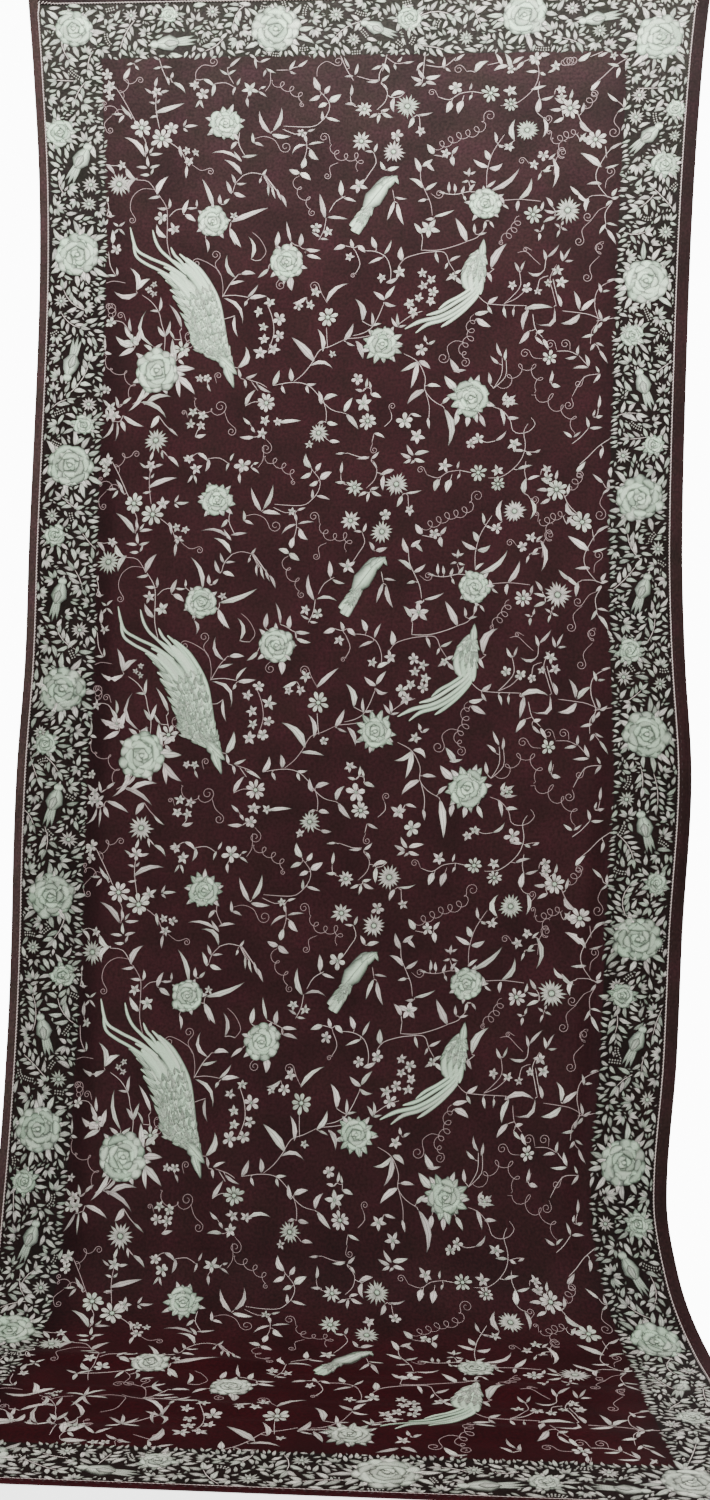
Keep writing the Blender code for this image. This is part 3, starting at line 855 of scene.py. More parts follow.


# One repeat of the field, charted in cells of the chart. Each leaf runs from its base to its
# tip, x and y each, and has a width; a fifth number bows it to one side, as a share of its length.
FIELD_LEAVES = (
    (111, 80, 112, 70, 3), (98, 93, 91, 92, 4), (97, 103, 92, 109, 4), (127, 82, 134, 70, 6),
    (137, 66, 130, 68, 3), (138, 65, 147, 62, 3), (139, 68, 143, 73, 3), (165, 70, 156, 72, 3),
    (165, 70, 176, 71, 3), (170, 80, 172, 89, 3), (174, 82, 176, 75, 4), (176, 86, 188, 97, 5, 0.1),
    (158, 90, 161, 80, 4), (155, 97, 147, 91, 3), (163, 96, 172, 94, 4), (158, 107, 151, 105, 3),
    (159, 107, 163, 102, 3), (157, 116, 187, 107, 7, 0.08), (152, 121, 161, 119, 3),
    (206, 83, 217, 91, 5, 0.15), (217, 88, 214, 101, 5, 0.1), (192, 87, 201, 90, 4), (202, 104, 197, 112, 3),
    (203, 104, 206, 113, 3), (231, 79, 222, 73, 3), (231, 79, 239, 74, 3), (232, 71, 244, 61, 4),
    (239, 90, 243, 82, 3), (238, 91, 235, 100, 3), (249, 102, 250, 112, 4), (260, 96, 269, 102, 3),
    (262, 93, 268, 91, 3), (257, 62, 259, 74, 3), (262, 67, 273, 63, 3), (268, 74, 265, 82, 3),
    (268, 73, 278, 78, 3), (291, 75, 297, 65, 4), (291, 76, 298, 79, 3), (299, 72, 309, 65, 4),
    (321, 96, 315, 82, 8, 0.1), (321, 101, 310, 106, 6), (326, 99, 331, 91, 7), (330, 107, 342, 100, 9),
    (328, 109, 319, 113, 6), (323, 126, 323, 116, 4), (327, 123, 341, 127, 4), (272, 138, 261, 115, 6, 0.1),
    (274, 136, 283, 112, 6, -0.1), (273, 139, 292, 141, 6), (308, 137, 317, 134, 3), (306, 140, 308, 148, 4),
    (308, 150, 293, 160, 4, -0.15), (309, 150, 326, 148, 3), (311, 154, 320, 165, 8, -0.1),
    (303, 173, 306, 162, 8), (301, 178, 290, 174, 7), (301, 178, 312, 185, 8), (238, 146, 232, 154, 5),
    (243, 161, 259, 159, 4), (243, 166, 235, 155, 4), (240, 164, 212, 158, 4, -0.1),
    (243, 179, 225, 164, 6, -0.2), (255, 148, 254, 137, 4), (255, 147, 265, 151, 4), (185, 131, 189, 123, 3),
    (186, 131, 200, 130, 4), (185, 132, 190, 136, 3), (145, 160, 125, 140, 7, -0.1), (148, 156, 146, 146, 4),
    (150, 158, 164, 157, 4), (150, 157, 155, 150, 3), (131, 119, 123, 107, 4), (126, 118, 120, 126, 4),
    (125, 117, 113, 117, 3), (133, 122, 127, 112, 3), (181, 150, 183, 162, 4), (188, 170, 187, 183, 4),
    (101, 167, 110, 178, 5, 0.1), (126, 171, 137, 183, 7, -0.2), (137, 181, 129, 197, 7, -0.2),
    (148, 171, 136, 170, 4), (149, 170, 148, 159, 4), (150, 171, 161, 168, 4), (150, 178, 140, 178, 4),
    (151, 178, 154, 170, 3), (157, 198, 169, 180, 8, 0.1), (161, 200, 148, 202, 4), (107, 205, 108, 199, 3),
    (105, 220, 100, 211, 3), (106, 218, 115, 218, 3), (118, 229, 112, 225, 3), (118, 229, 125, 224, 3),
    (118, 231, 125, 238, 3), (118, 231, 111, 237, 3), (112, 246, 112, 232, 6), (170, 212, 170, 202, 4),
    (168, 212, 157, 211, 4), (167, 241, 157, 227, 7, 0.1), (184, 218, 190, 204, 6), (186, 219, 197, 226, 7),
    (188, 213, 199, 213, 3), (198, 212, 198, 204, 3), (215, 213, 203, 183, 6, -0.08), (232, 226, 270, 212, 7),
    (231, 232, 243, 251, 8), (222, 209, 221, 199, 5), (225, 209, 231, 203, 4), (207, 243, 209, 257, 4, 0.15),
    (233, 238, 237, 249, 4), (236, 188, 232, 178, 4), (237, 188, 248, 187, 3), (232, 198, 227, 185, 5),
    (235, 197, 247, 201, 6), (263, 180, 268, 173, 3), (262, 182, 260, 188, 3), (269, 189, 270, 201, 3),
    (273, 190, 277, 204, 3), (278, 193, 283, 206, 3), (282, 199, 288, 212, 4), (278, 250, 280, 235, 7),
    (302, 250, 303, 237, 7), (293, 246, 288, 225, 4), (308, 253, 323, 254, 5), (309, 259, 324, 263, 5),
    (253, 262, 250, 240, 5, -0.15), (327, 223, 321, 198, 7, 0.05), (329, 222, 350, 224, 4, 0.12),
    (322, 243, 331, 244, 3), (322, 241, 313, 236, 3), (343, 201, 342, 185, 7), (345, 203, 358, 207, 4),
    (350, 74, 344, 62, 3), (354, 82, 344, 83, 3), (355, 81, 358, 69, 4), (351, 102, 352, 90, 4),
    (355, 110, 345, 110, 4), (381, 72, 371, 76, 4), (382, 70, 389, 80, 5), (393, 71, 395, 77, 3),
    (396, 69, 401, 63, 3), (402, 70, 413, 68, 3), (379, 87, 366, 88, 4), (381, 88, 389, 81, 4),
    (383, 90, 388, 97, 3), (378, 120, 369, 124, 4), (380, 120, 378, 130, 4), (382, 119, 393, 124, 5),
    (381, 117, 390, 115, 4), (404, 99, 390, 104, 6, -0.1), (394, 104, 394, 119, 6, -0.1),
    (422, 69, 415, 78, 4), (424, 67, 433, 71, 3), (441, 75, 442, 64, 4), (443, 75, 449, 79, 3),
    (453, 66, 462, 59, 4), (421, 88, 410, 83, 5), (421, 89, 413, 93, 4), (424, 85, 439, 82, 6),
    (424, 89, 435, 92, 5), (423, 86, 416, 75, 5), (425, 90, 420, 94, 3), (467, 98, 469, 90, 3),
    (470, 102, 467, 108, 3), (449, 108, 445, 120, 10), (461, 108, 457, 121, 9), (472, 80, 485, 69, 8, 0.1),
    (498, 68, 491, 56, 5), (506, 73, 500, 58, 6), (504, 74, 490, 79, 6, -0.1), (508, 72, 519, 65, 5),
    (519, 70, 511, 79, 5), (534, 64, 544, 63, 6), (530, 66, 523, 70, 4), (533, 80, 521, 80, 4),
    (535, 81, 541, 84, 4), (527, 98, 542, 94, 4), (549, 79, 542, 82, 3), (571, 69, 583, 60, 7),
    (590, 62, 600, 57, 4), (622, 68, 614, 64, 4), (622, 69, 621, 81, 4), (611, 76, 599, 73, 4),
    (611, 77, 609, 88, 5), (585, 100, 594, 90, 6), (612, 111, 601, 102, 4), (622, 117, 621, 107, 4),
    (620, 117, 613, 122, 3), (534, 121, 536, 106, 8), (537, 108, 550, 104, 4), (565, 108, 567, 98, 4),
    (560, 112, 550, 106, 4), (558, 118, 546, 118, 5), (560, 126, 550, 131, 5), (577, 122, 579, 111, 4),
    (576, 129, 589, 141, 7, -0.2), (513, 148, 513, 127, 7, 0.2), (540, 126, 540, 146, 5, 0.15),
    (495, 150, 493, 139, 4), (497, 152, 503, 155, 3), (489, 167, 484, 157, 8), (488, 174, 473, 166, 6, 0.1),
    (489, 175, 502, 170, 7, -0.15), (434, 161, 427, 151, 8), (421, 179, 415, 164, 7), (423, 173, 433, 166, 6),
    (427, 170, 435, 178, 5), (452, 161, 458, 153, 5), (452, 163, 454, 173, 7), (424, 195, 410, 185, 6, -0.1),
    (426, 197, 438, 189, 5, -0.1), (428, 206, 419, 208, 4), (436, 223, 456, 216, 4, -0.1),
    (424, 240, 416, 229, 6), (436, 225, 427, 226, 4), (469, 181, 463, 178, 3), (470, 181, 476, 178, 3),
    (469, 187, 462, 189, 3), (470, 187, 477, 189, 3), (469, 183, 470, 174, 4), (450, 199, 450, 188, 4),
    (456, 199, 455, 190, 4), (447, 200, 440, 198, 3), (462, 200, 465, 192, 4), (470, 198, 476, 190, 4),
    (464, 202, 467, 208, 3), (491, 197, 519, 175, 7, -0.12), (487, 194, 496, 187, 4), (501, 203, 505, 211, 4),
    (519, 206, 531, 185, 7, -0.1), (519, 207, 518, 218, 5), (503, 211, 510, 216, 3), (542, 217, 544, 208, 4),
    (553, 214, 546, 204, 5), (556, 219, 544, 216, 4), (556, 224, 544, 229, 5), (580, 203, 569, 193, 5, 0.1),
    (577, 199, 590, 209, 5, -0.1), (588, 205, 586, 219, 6, -0.1), (561, 234, 555, 230, 3),
    (562, 234, 569, 237, 3), (561, 236, 558, 244, 3), (562, 232, 564, 227, 3), (599, 175, 578, 161, 9, -0.05),
    (586, 151, 577, 143, 6), (611, 158, 623, 151, 4), (603, 176, 617, 172, 3), (600, 191, 585, 192, 4),
    (577, 150, 583, 141, 4), (551, 166, 552, 195, 6, 0.1), (547, 167, 554, 161, 3), (549, 173, 543, 180, 4),
    (540, 180, 537, 188, 3), (541, 178, 551, 178, 3), (611, 204, 616, 196, 5), (612, 206, 620, 204, 4),
    (611, 208, 605, 214, 4), (606, 231, 600, 241, 4), (607, 230, 619, 233, 3), (607, 236, 617, 251, 5),
    (541, 238, 535, 236, 3), (541, 239, 540, 247, 4), (543, 237, 545, 230, 3), (469, 247, 457, 224, 9, -0.05),
    (477, 239, 476, 229, 4), (480, 240, 489, 238, 3), (487, 227, 485, 236, 4), (491, 227, 496, 234, 3),
    (396, 203, 409, 205, 3), (396, 207, 389, 226, 5), (399, 209, 406, 231, 6), (413, 124, 408, 135, 6),
    (416, 122, 433, 119, 3, -0.1), (374, 158, 365, 157, 3), (375, 158, 378, 149, 4), (386, 176, 381, 167, 5),
    (388, 176, 400, 173, 6), (178, 342, 170, 330, 3), (137, 346, 117, 337, 9, 0.1), (137, 349, 121, 357, 7),
    (139, 345, 142, 330, 7), (134, 340, 126, 327, 5), (133, 333, 131, 319, 4), (180, 371, 200, 371, 9),
    (182, 378, 201, 396, 9), (183, 380, 186, 399, 6), (180, 363, 176, 341, 8), (182, 361, 194, 352, 7),
    (183, 362, 189, 367, 4), (157, 348, 148, 312, 5, 0.2), (155, 352, 146, 346, 5), (157, 352, 166, 345, 5),
    (168, 339, 160, 328, 5), (168, 339, 173, 323, 5), (161, 314, 151, 313, 3), (161, 314, 162, 299, 4),
    (137, 293, 130, 270, 7, -0.15), (137, 292, 151, 281, 8, 0.1), (138, 295, 114, 293, 7, 0.15),
    (116, 278, 106, 277, 3), (117, 278, 116, 269, 3), (185, 331, 171, 307, 5, -0.1),
    (149, 386, 133, 411, 6, 0.15), (156, 388, 141, 402, 4, 0.1), (150, 405, 177, 398, 7, 0.1),
    (145, 402, 173, 419, 6, 0.15), (118, 421, 106, 437, 4, 0.1), (122, 421, 121, 440, 3),
    (126, 420, 131, 431, 6), (128, 415, 150, 426, 6), (122, 407, 119, 396, 4), (127, 404, 136, 397, 4),
    (107, 406, 101, 399, 4), (105, 352, 104, 337, 3), (106, 353, 114, 355, 4), (238, 281, 229, 258, 5, 0.2),
    (243, 277, 258, 277, 6, 0.1), (231, 288, 247, 284, 4), (250, 300, 261, 287, 4), (252, 301, 270, 299, 6),
    (250, 303, 247, 309, 4), (226, 301, 246, 326, 5, 0.2), (238, 318, 242, 339, 4, -0.15),
    (243, 369, 250, 348, 9, -0.15), (246, 379, 243, 369, 4), (251, 379, 263, 374, 4), (250, 380, 252, 389, 4),
    (263, 385, 278, 393, 4), (252, 406, 262, 390, 6, 0.1), (279, 386, 285, 371, 7, -0.1),
    (298, 382, 296, 369, 7), (288, 386, 292, 394, 4), (320, 363, 296, 339, 10, -0.12),
    (328, 353, 322, 331, 6, -0.15), (316, 367, 339, 370, 5, 0.15), (312, 385, 323, 384, 4),
    (313, 386, 316, 394, 4), (330, 306, 352, 287, 6, 0.12), (310, 300, 296, 306, 5, 0.1),
    (349, 343, 358, 326, 7, -0.1), (351, 344, 361, 348, 3), (361, 343, 369, 360, 6, 0.1),
    (348, 250, 336, 254, 7), (356, 252, 353, 243, 5), (360, 250, 368, 257, 8), (271, 272, 260, 281, 5),
    (294, 280, 295, 294, 11), (213, 385, 217, 393, 3), (203, 437, 214, 434, 5), (165, 416, 157, 428, 8),
    (175, 428, 186, 437, 3), (258, 424, 250, 417, 4), (259, 426, 263, 432, 4), (286, 422, 309, 420, 5, 0.1),
    (262, 436, 247, 436, 5), (328, 404, 325, 391, 6), (331, 400, 345, 396, 7, 0.1),
    (352, 412, 360, 398, 7, 0.1), (354, 414, 367, 429, 7), (335, 422, 346, 424, 6), (332, 421, 325, 423, 4),
    (338, 440, 349, 441, 5), (379, 253, 374, 241, 7), (387, 259, 394, 245, 4), (386, 262, 371, 268, 4),
    (390, 287, 402, 282, 6), (405, 266, 404, 252, 8), (389, 304, 377, 295, 6), (389, 303, 399, 290, 6),
    (388, 306, 401, 310, 5, -0.15), (377, 329, 376, 315, 4), (377, 329, 387, 327, 3),
    (367, 324, 359, 302, 8, -0.1), (362, 345, 369, 361, 5, 0.1), (403, 331, 396, 321, 4),
    (404, 330, 402, 317, 4), (403, 331, 412, 329, 3), (494, 273, 509, 249, 10, 0.15), (490, 277, 495, 287, 5),
    (452, 267, 464, 261, 4), (451, 268, 448, 275, 3), (438, 258, 442, 269, 4), (457, 281, 449, 286, 4),
    (458, 279, 465, 275, 4), (459, 282, 467, 289, 5), (492, 308, 502, 301, 6), (492, 310, 497, 318, 4),
    (522, 277, 517, 267, 4), (524, 276, 528, 266, 3), (508, 311, 511, 322, 4), (518, 312, 518, 321, 3),
    (529, 313, 557, 312, 7, 0.12), (558, 311, 539, 327, 5, 0.45), (533, 313, 528, 334, 7, -0.05),
    (534, 334, 524, 347, 7), (541, 336, 549, 334, 5), (540, 340, 549, 348, 4), (548, 342, 554, 353, 5),
    (583, 314, 577, 296, 6, -0.1), (585, 315, 599, 303, 7, 0.1), (584, 318, 565, 327, 8, 0.1),
    (565, 311, 561, 299, 5), (565, 267, 562, 256, 4), (566, 266, 573, 253, 3), (567, 267, 576, 266, 3),
    (548, 266, 545, 255, 4), (549, 263, 561, 250, 4), (546, 277, 530, 276, 4, 0.2), (604, 298, 601, 288, 4),
    (605, 297, 613, 296, 3), (612, 287, 621, 284, 3), (606, 325, 614, 320, 4), (606, 326, 600, 333, 4),
    (606, 324, 602, 313, 4), (598, 338, 586, 341, 4), (598, 337, 601, 327, 4), (600, 346, 609, 350, 3),
    (599, 347, 595, 354, 4), (604, 353, 613, 366, 4), (582, 359, 570, 361, 4), (583, 358, 584, 348, 4),
    (594, 370, 578, 371, 4), (594, 369, 590, 357, 5), (606, 376, 599, 385, 4), (605, 375, 601, 368, 3),
    (605, 409, 606, 396, 4), (603, 418, 610, 416, 4), (600, 417, 602, 410, 3), (596, 428, 593, 417, 4),
    (597, 428, 610, 427, 4), (580, 437, 571, 431, 4), (581, 437, 589, 431, 3), (556, 384, 558, 372, 4),
    (558, 386, 567, 388, 7), (464, 391, 451, 378, 10), (497, 386, 495, 374, 5), (465, 414, 463, 426, 7),
    (488, 415, 494, 427, 6), (476, 416, 475, 427, 7), (510, 405, 526, 405, 4), (512, 403, 523, 396, 5),
    (510, 401, 514, 393, 4), (508, 359, 502, 345, 4, 0.1), (511, 363, 512, 351, 4), (505, 366, 496, 358, 4),
    (466, 375, 456, 361, 8), (460, 374, 473, 372, 4), (452, 410, 457, 446, 9, 0.08), (450, 405, 459, 397, 5),
    (424, 365, 407, 374, 6, 0.1), (424, 365, 418, 391, 7, 0.1), (425, 364, 437, 372, 7, 0.15),
    (434, 388, 448, 389, 5), (432, 392, 415, 406, 8, -0.1), (436, 419, 438, 430, 4), (432, 346, 430, 339, 4),
    (434, 348, 441, 344, 4), (479, 318, 494, 315, 6), (481, 322, 496, 330, 8), (508, 409, 512, 426, 5),
    (515, 418, 527, 418, 5), (504, 440, 515, 430, 4, -0.1), (419, 415, 430, 418, 4), (378, 395, 389, 399, 6),
    (383, 433, 394, 438, 4), (370, 392, 362, 390, 4), (373, 389, 374, 379, 4), (378, 390, 376, 382, 3),
)
# Small five-petalled blossoms: the middle and the reach of the petals.
FIELD_BLOSSOMS = (
    (104, 77, 6), (114, 88, 7), (104, 91, 6), (113, 99, 6), (159, 95, 7), (198, 89, 6), (205, 98, 7),
    (252, 94, 9), (303, 138, 5), (173, 132, 8), (188, 155, 5), (197, 157, 5), (190, 166, 6), (122, 168, 6),
    (116, 252, 6), (162, 221, 7), (175, 233, 8), (235, 220, 5), (318, 232, 6), (330, 236, 6), (360, 191, 9),
    (454, 95, 8), (507, 99, 7), (507, 78, 5), (530, 63, 7), (550, 75, 6), (605, 58, 5), (556, 98, 6),
    (557, 106, 6), (508, 154, 6), (446, 160, 6), (431, 235, 11), (542, 163, 6), (533, 172, 6), (397, 142, 7),
    (421, 138, 6), (106, 324, 6), (150, 292, 4), (155, 287, 4), (155, 296, 4), (115, 407, 7), (106, 415, 7),
    (119, 415, 8), (105, 390, 5), (273, 305, 6), (262, 314, 6), (283, 321, 8), (267, 329, 6), (283, 338, 6),
    (268, 341, 6), (265, 354, 8), (278, 351, 7), (319, 295, 7), (314, 308, 6), (302, 309, 5), (338, 356, 5),
    (352, 261, 6), (205, 380, 5), (213, 380, 5), (200, 413, 6), (210, 416, 6), (198, 425, 6), (208, 426, 6),
    (272, 420, 7), (285, 421, 6), (270, 433, 7), (318, 443, 5), (364, 380, 7), (371, 404, 10), (385, 282, 6),
    (403, 277, 7), (426, 279, 6), (427, 291, 6), (435, 285, 6), (437, 297, 6), (423, 303, 6), (435, 306, 6),
    (414, 308, 7), (418, 317, 7), (456, 281, 5), (516, 290, 6), (530, 293, 6), (560, 276, 7), (564, 287, 7),
    (551, 288, 5), (541, 296, 5), (427, 353, 7), (487, 438, 6), (480, 443, 6), (413, 422, 9), (426, 437, 9),
    (523, 443, 8), (134, 342, 8),
)
# Many-petalled flowers: the middle, the reach, how many petals, and how wide a petal is for its length.
FIELD_DAISIES = (
    (119, 187, 15, 17, 0.2), (407, 113, 15, 18, 0.2), (394, 158, 14, 16, 0.22), (525, 138, 14, 18, 0.24),
    (568, 217, 17, 18, 0.2), (163, 440, 15, 16, 0.22), (327, 432, 13, 15, 0.22), (362, 147, 13, 10, 0.3),
    (365, 115, 11, 9, 0.34), (143, 131, 13, 8, 0.5), (163, 142, 14, 8, 0.5), (488, 101, 11, 8, 0.42),
    (508, 112, 9, 9, 0.4), (566, 117, 13, 9, 0.46), (592, 148, 13, 8, 0.52), (534, 221, 11, 8, 0.46),
    (332, 320, 13, 8, 0.48), (273, 403, 12, 9, 0.46), (376, 421, 11, 9, 0.46), (555, 360, 9, 6, 0.62),
    (516, 402, 8, 7, 0.5), (186, 352, 11, 7, 0.5),
)
# Full roses and peonies: the middle, the reach, how many outer petals, and how pointed they are.
FIELD_ROSES = (
    (227, 128, 19, 11, 0.6), (214, 226, 18, 9, 0.2), (289, 266, 20, 9, 0.3), (486, 210, 18, 10, 0.1),
    (161, 372, 26, 10, 0.2), (388, 347, 20, 11, 0.9), (478, 399, 23, 11, 0.7),
)
# Stems: the x and y of each place that one runs through.
FIELD_STEMS = (
    (137, 52, 137, 64, 132, 74), (163, 56, 166, 68, 171, 80), (159, 98, 158, 112, 161, 132),
    (217, 88, 228, 87, 237, 92), (230, 72, 231, 79, 236, 88), (278, 75, 290, 75),
    (322, 98, 330, 108, 329, 118, 322, 127, 312, 132, 285, 131), (284, 134, 296, 139, 304, 138),
    (306, 140, 308, 153, 304, 168), (241, 137, 240, 148, 246, 160), (119, 90, 127, 104, 138, 126),
    (146, 160, 147, 146, 143, 138), (171, 146, 182, 155, 188, 168), (137, 183, 149, 185, 158, 198),
    (159, 198, 167, 211, 168, 226, 168, 246, 172, 262), (170, 220, 177, 214, 187, 213),
    (245, 179, 237, 187, 234, 196), (243, 180, 253, 177, 264, 179), (264, 179, 271, 192),
    (264, 179, 275, 195), (265, 179, 280, 198), (266, 179, 284, 203), (328, 222, 326, 234, 321, 244),
    (347, 201, 337, 207, 331, 217), (341, 56, 347, 70, 354, 81), (357, 82, 370, 86, 379, 86),
    (351, 102, 352, 110, 358, 113), (386, 56, 384, 66, 382, 72), (386, 64, 395, 70, 406, 69),
    (379, 87, 379, 80, 383, 72), (381, 90, 387, 98, 385, 108, 377, 116), (423, 56, 422, 70, 421, 84),
    (424, 72, 441, 74, 453, 65), (437, 104, 448, 107, 458, 101, 470, 99), (451, 106, 449, 112),
    (462, 103, 460, 110), (470, 99, 481, 101), (484, 73, 497, 70),
    (498, 106, 511, 105, 523, 97, 531, 87, 534, 75, 532, 62, 536, 54), (535, 90, 534, 100, 536, 108),
    (550, 103, 551, 98, 556, 96), (582, 60, 594, 55), (622, 68, 610, 76, 600, 86, 592, 93),
    (636, 118, 622, 118, 612, 111), (572, 119, 578, 131, 588, 141),
    (503, 142, 497, 151, 491, 162, 487, 178, 487, 192), (496, 152, 506, 154), (434, 162, 446, 164),
    (421, 178, 422, 188, 427, 199, 432, 210, 434, 222), (469, 188, 472, 197),
    (440, 199, 455, 201, 470, 198, 479, 199), (502, 207, 520, 206, 541, 208), (425, 245, 424, 256),
    (602, 155, 604, 166), (622, 152, 611, 158, 603, 170, 598, 182, 601, 193, 611, 205),
    (592, 203, 603, 203, 612, 206), (606, 231, 605, 220, 611, 210), (468, 247, 479, 243, 486, 235),
    (394, 196, 396, 206), (419, 124, 420, 136), (374, 158, 377, 168, 371, 178, 365, 187),
    (114, 322, 124, 324, 132, 334), (168, 352, 168, 338, 164, 326, 161, 315, 153, 304, 143, 297),
    (108, 254, 110, 268, 116, 278), (186, 346, 183, 334), (137, 404, 147, 398, 152, 390),
    (225, 300, 233, 286, 241, 277), (225, 299, 238, 298, 251, 300), (270, 306, 276, 320, 278, 336, 273, 352),
    (253, 380, 266, 384, 273, 388), (257, 382, 264, 391),
    (279, 386, 298, 383, 313, 385, 324, 394, 330, 402, 340, 410, 352, 413),
    (300, 382, 309, 375, 317, 365, 325, 352, 336, 348, 349, 342), (331, 330, 332, 342, 333, 350),
    (350, 341, 364, 340, 376, 338), (358, 255, 363, 268, 358, 278), (165, 416, 172, 425, 180, 432),
    (331, 402, 334, 412, 334, 422), (365, 255, 378, 256, 389, 262, 394, 274, 394, 285),
    (402, 271, 408, 264, 420, 260, 432, 258, 447, 258, 452, 268, 458, 277),
    (388, 308, 382, 322, 376, 331, 367, 336, 358, 338), (404, 328, 416, 320, 427, 316),
    (424, 256, 440, 256, 456, 252, 469, 247), (488, 281, 497, 274), (482, 300, 490, 307, 502, 309, 530, 310),
    (508, 308, 517, 300, 524, 290, 522, 275), (508, 308, 520, 303, 530, 294),
    (560, 310, 556, 296, 553, 283, 559, 270), (563, 309, 559, 296, 556, 284), (548, 266, 547, 275, 542, 279),
    (541, 294, 543, 284, 551, 281), (622, 285, 610, 290, 603, 298, 602, 311, 606, 325, 600, 334, 599, 347),
    (606, 325, 624, 322), (566, 315, 583, 317, 594, 319, 606, 324), (537, 318, 540, 332, 548, 341),
    (562, 354, 574, 354, 583, 358), (584, 358, 594, 369), (606, 376, 592, 378, 585, 386, 579, 397),
    (596, 428, 588, 437, 580, 443), (500, 390, 508, 376, 508, 360), (500, 390, 512, 378, 512, 362),
    (451, 408, 440, 402, 432, 392, 432, 380, 424, 365, 410, 357), (433, 394, 437, 408, 437, 420),
    (500, 407, 510, 411, 518, 420, 521, 430, 528, 433, 537, 431, 543, 424, 539, 418),
    (393, 427, 400, 420, 399, 413), (383, 433, 381, 442), (558, 384, 560, 376), (372, 398, 376, 412),
)
# Tendrils: the places each runs through, then the reach of the curl it ends in, then how many loops it
# throws on the way and how big they are. A curl's sign says which way it winds.
FIELD_TENDRILS = (
    ((199, 87, 199, 76, 206, 69, 215, 70), 4), ((272, 74, 272, 88, 267, 96), 0),
    ((272, 85, 283, 90, 293, 95, 303, 103, 302, 108), 2, 4), ((318, 82, 319, 73, 327, 67, 336, 71), 4),
    ((126, 101, 126, 90, 134, 84, 140, 82), -3, 2), ((124, 116, 112, 113, 103, 108), -2, 2),
    ((112, 118, 104, 126, 106, 134), 3), ((256, 143, 266, 141, 276, 145, 281, 154), 5),
    ((193, 169, 202, 175, 210, 173), -3), ((156, 193, 143, 192, 133, 199, 130, 211, 135, 221), -3),
    ((300, 180, 298, 190, 303, 199, 311, 207, 311, 215), 3, 3), ((331, 149, 330, 142), 4),
    ((331, 149, 338, 160, 348, 163, 360, 163, 358, 177), 0, 5), ((339, 168, 331, 172, 332, 180), -3),
    ((254, 236, 262, 243, 268, 255, 263, 263), 0), ((437, 104, 434, 98), 3), ((464, 79, 460, 74), 4),
    ((580, 118, 586, 108, 592, 102), 3, 3), ((556, 71, 569, 70), 0, 4), ((613, 120, 609, 130, 614, 137), -5),
    ((432, 158, 440, 153, 452, 147, 462, 142, 472, 140, 481, 133, 482, 125), -5, 7, 2.8),
    ((549, 147, 556, 148, 564, 143, 575, 141), 0, 4), ((548, 148, 549, 141), 2),
    ((557, 163, 554, 168, 553, 182), 0), ((563, 150, 558, 158, 562, 165), -4, 2), ((528, 171, 524, 166), 3),
    ((520, 222, 517, 232, 511, 240, 503, 246), 2, 4), ((432, 200, 437, 204), 4),
    ((606, 214, 599, 217, 592, 226), -4), ((592, 227, 583, 236, 585, 246), -4),
    ((604, 196, 605, 188, 611, 183), 4), ((543, 135, 548, 129), 3), ((120, 285, 108, 283, 100, 285), 0),
    ((113, 318, 112, 306), 3, 3), ((127, 322, 125, 316), 3),
    ((100, 355, 105, 363, 106, 372, 115, 371, 126, 378, 130, 389, 127, 401), 0, 4),
    ((225, 300, 225, 288, 221, 275, 210, 267, 200, 263), 4), ((222, 278, 217, 268, 221, 262), 4),
    ((190, 338, 196, 343), 4, 1), ((284, 281, 280, 285), 4), ((331, 306, 325, 296, 322, 288), 4),
    ((200, 399, 207, 408, 220, 413, 232, 410), 5, 2), ((231, 411, 235, 421, 242, 427), -4),
    ((222, 384, 220, 378), -3), ((195, 419, 193, 413), 2), ((274, 438, 279, 443), -5),
    ((534, 256, 529, 253), 2), ((520, 258, 528, 257, 536, 264, 543, 270), 0), ((603, 250, 600, 258), -4, 1),
    ((601, 262, 592, 272, 594, 281), -4),
    ((478, 318, 475, 330, 476, 340, 470, 347, 468, 356, 474, 361), -4, 6),
    ((471, 346, 461, 344, 453, 350, 455, 359), -5), ((548, 361, 539, 360, 535, 354), 4),
    ((562, 353, 560, 346), 4), ((575, 353, 575, 347), 4), ((578, 399, 580, 404), -4),
    ((590, 378, 588, 386), -3),
    ((500, 389, 512, 385, 522, 374, 532, 368, 541, 372, 545, 384, 541, 394), 0, 5, 3.0),
    ((538, 396, 548, 399, 557, 398, 562, 408, 572, 411, 580, 420, 582, 434), 0, 4, 3.0),
    ((399, 413, 397, 409), -3), ((382, 442, 380, 448), 3), ((360, 278, 357, 277), 2),
)
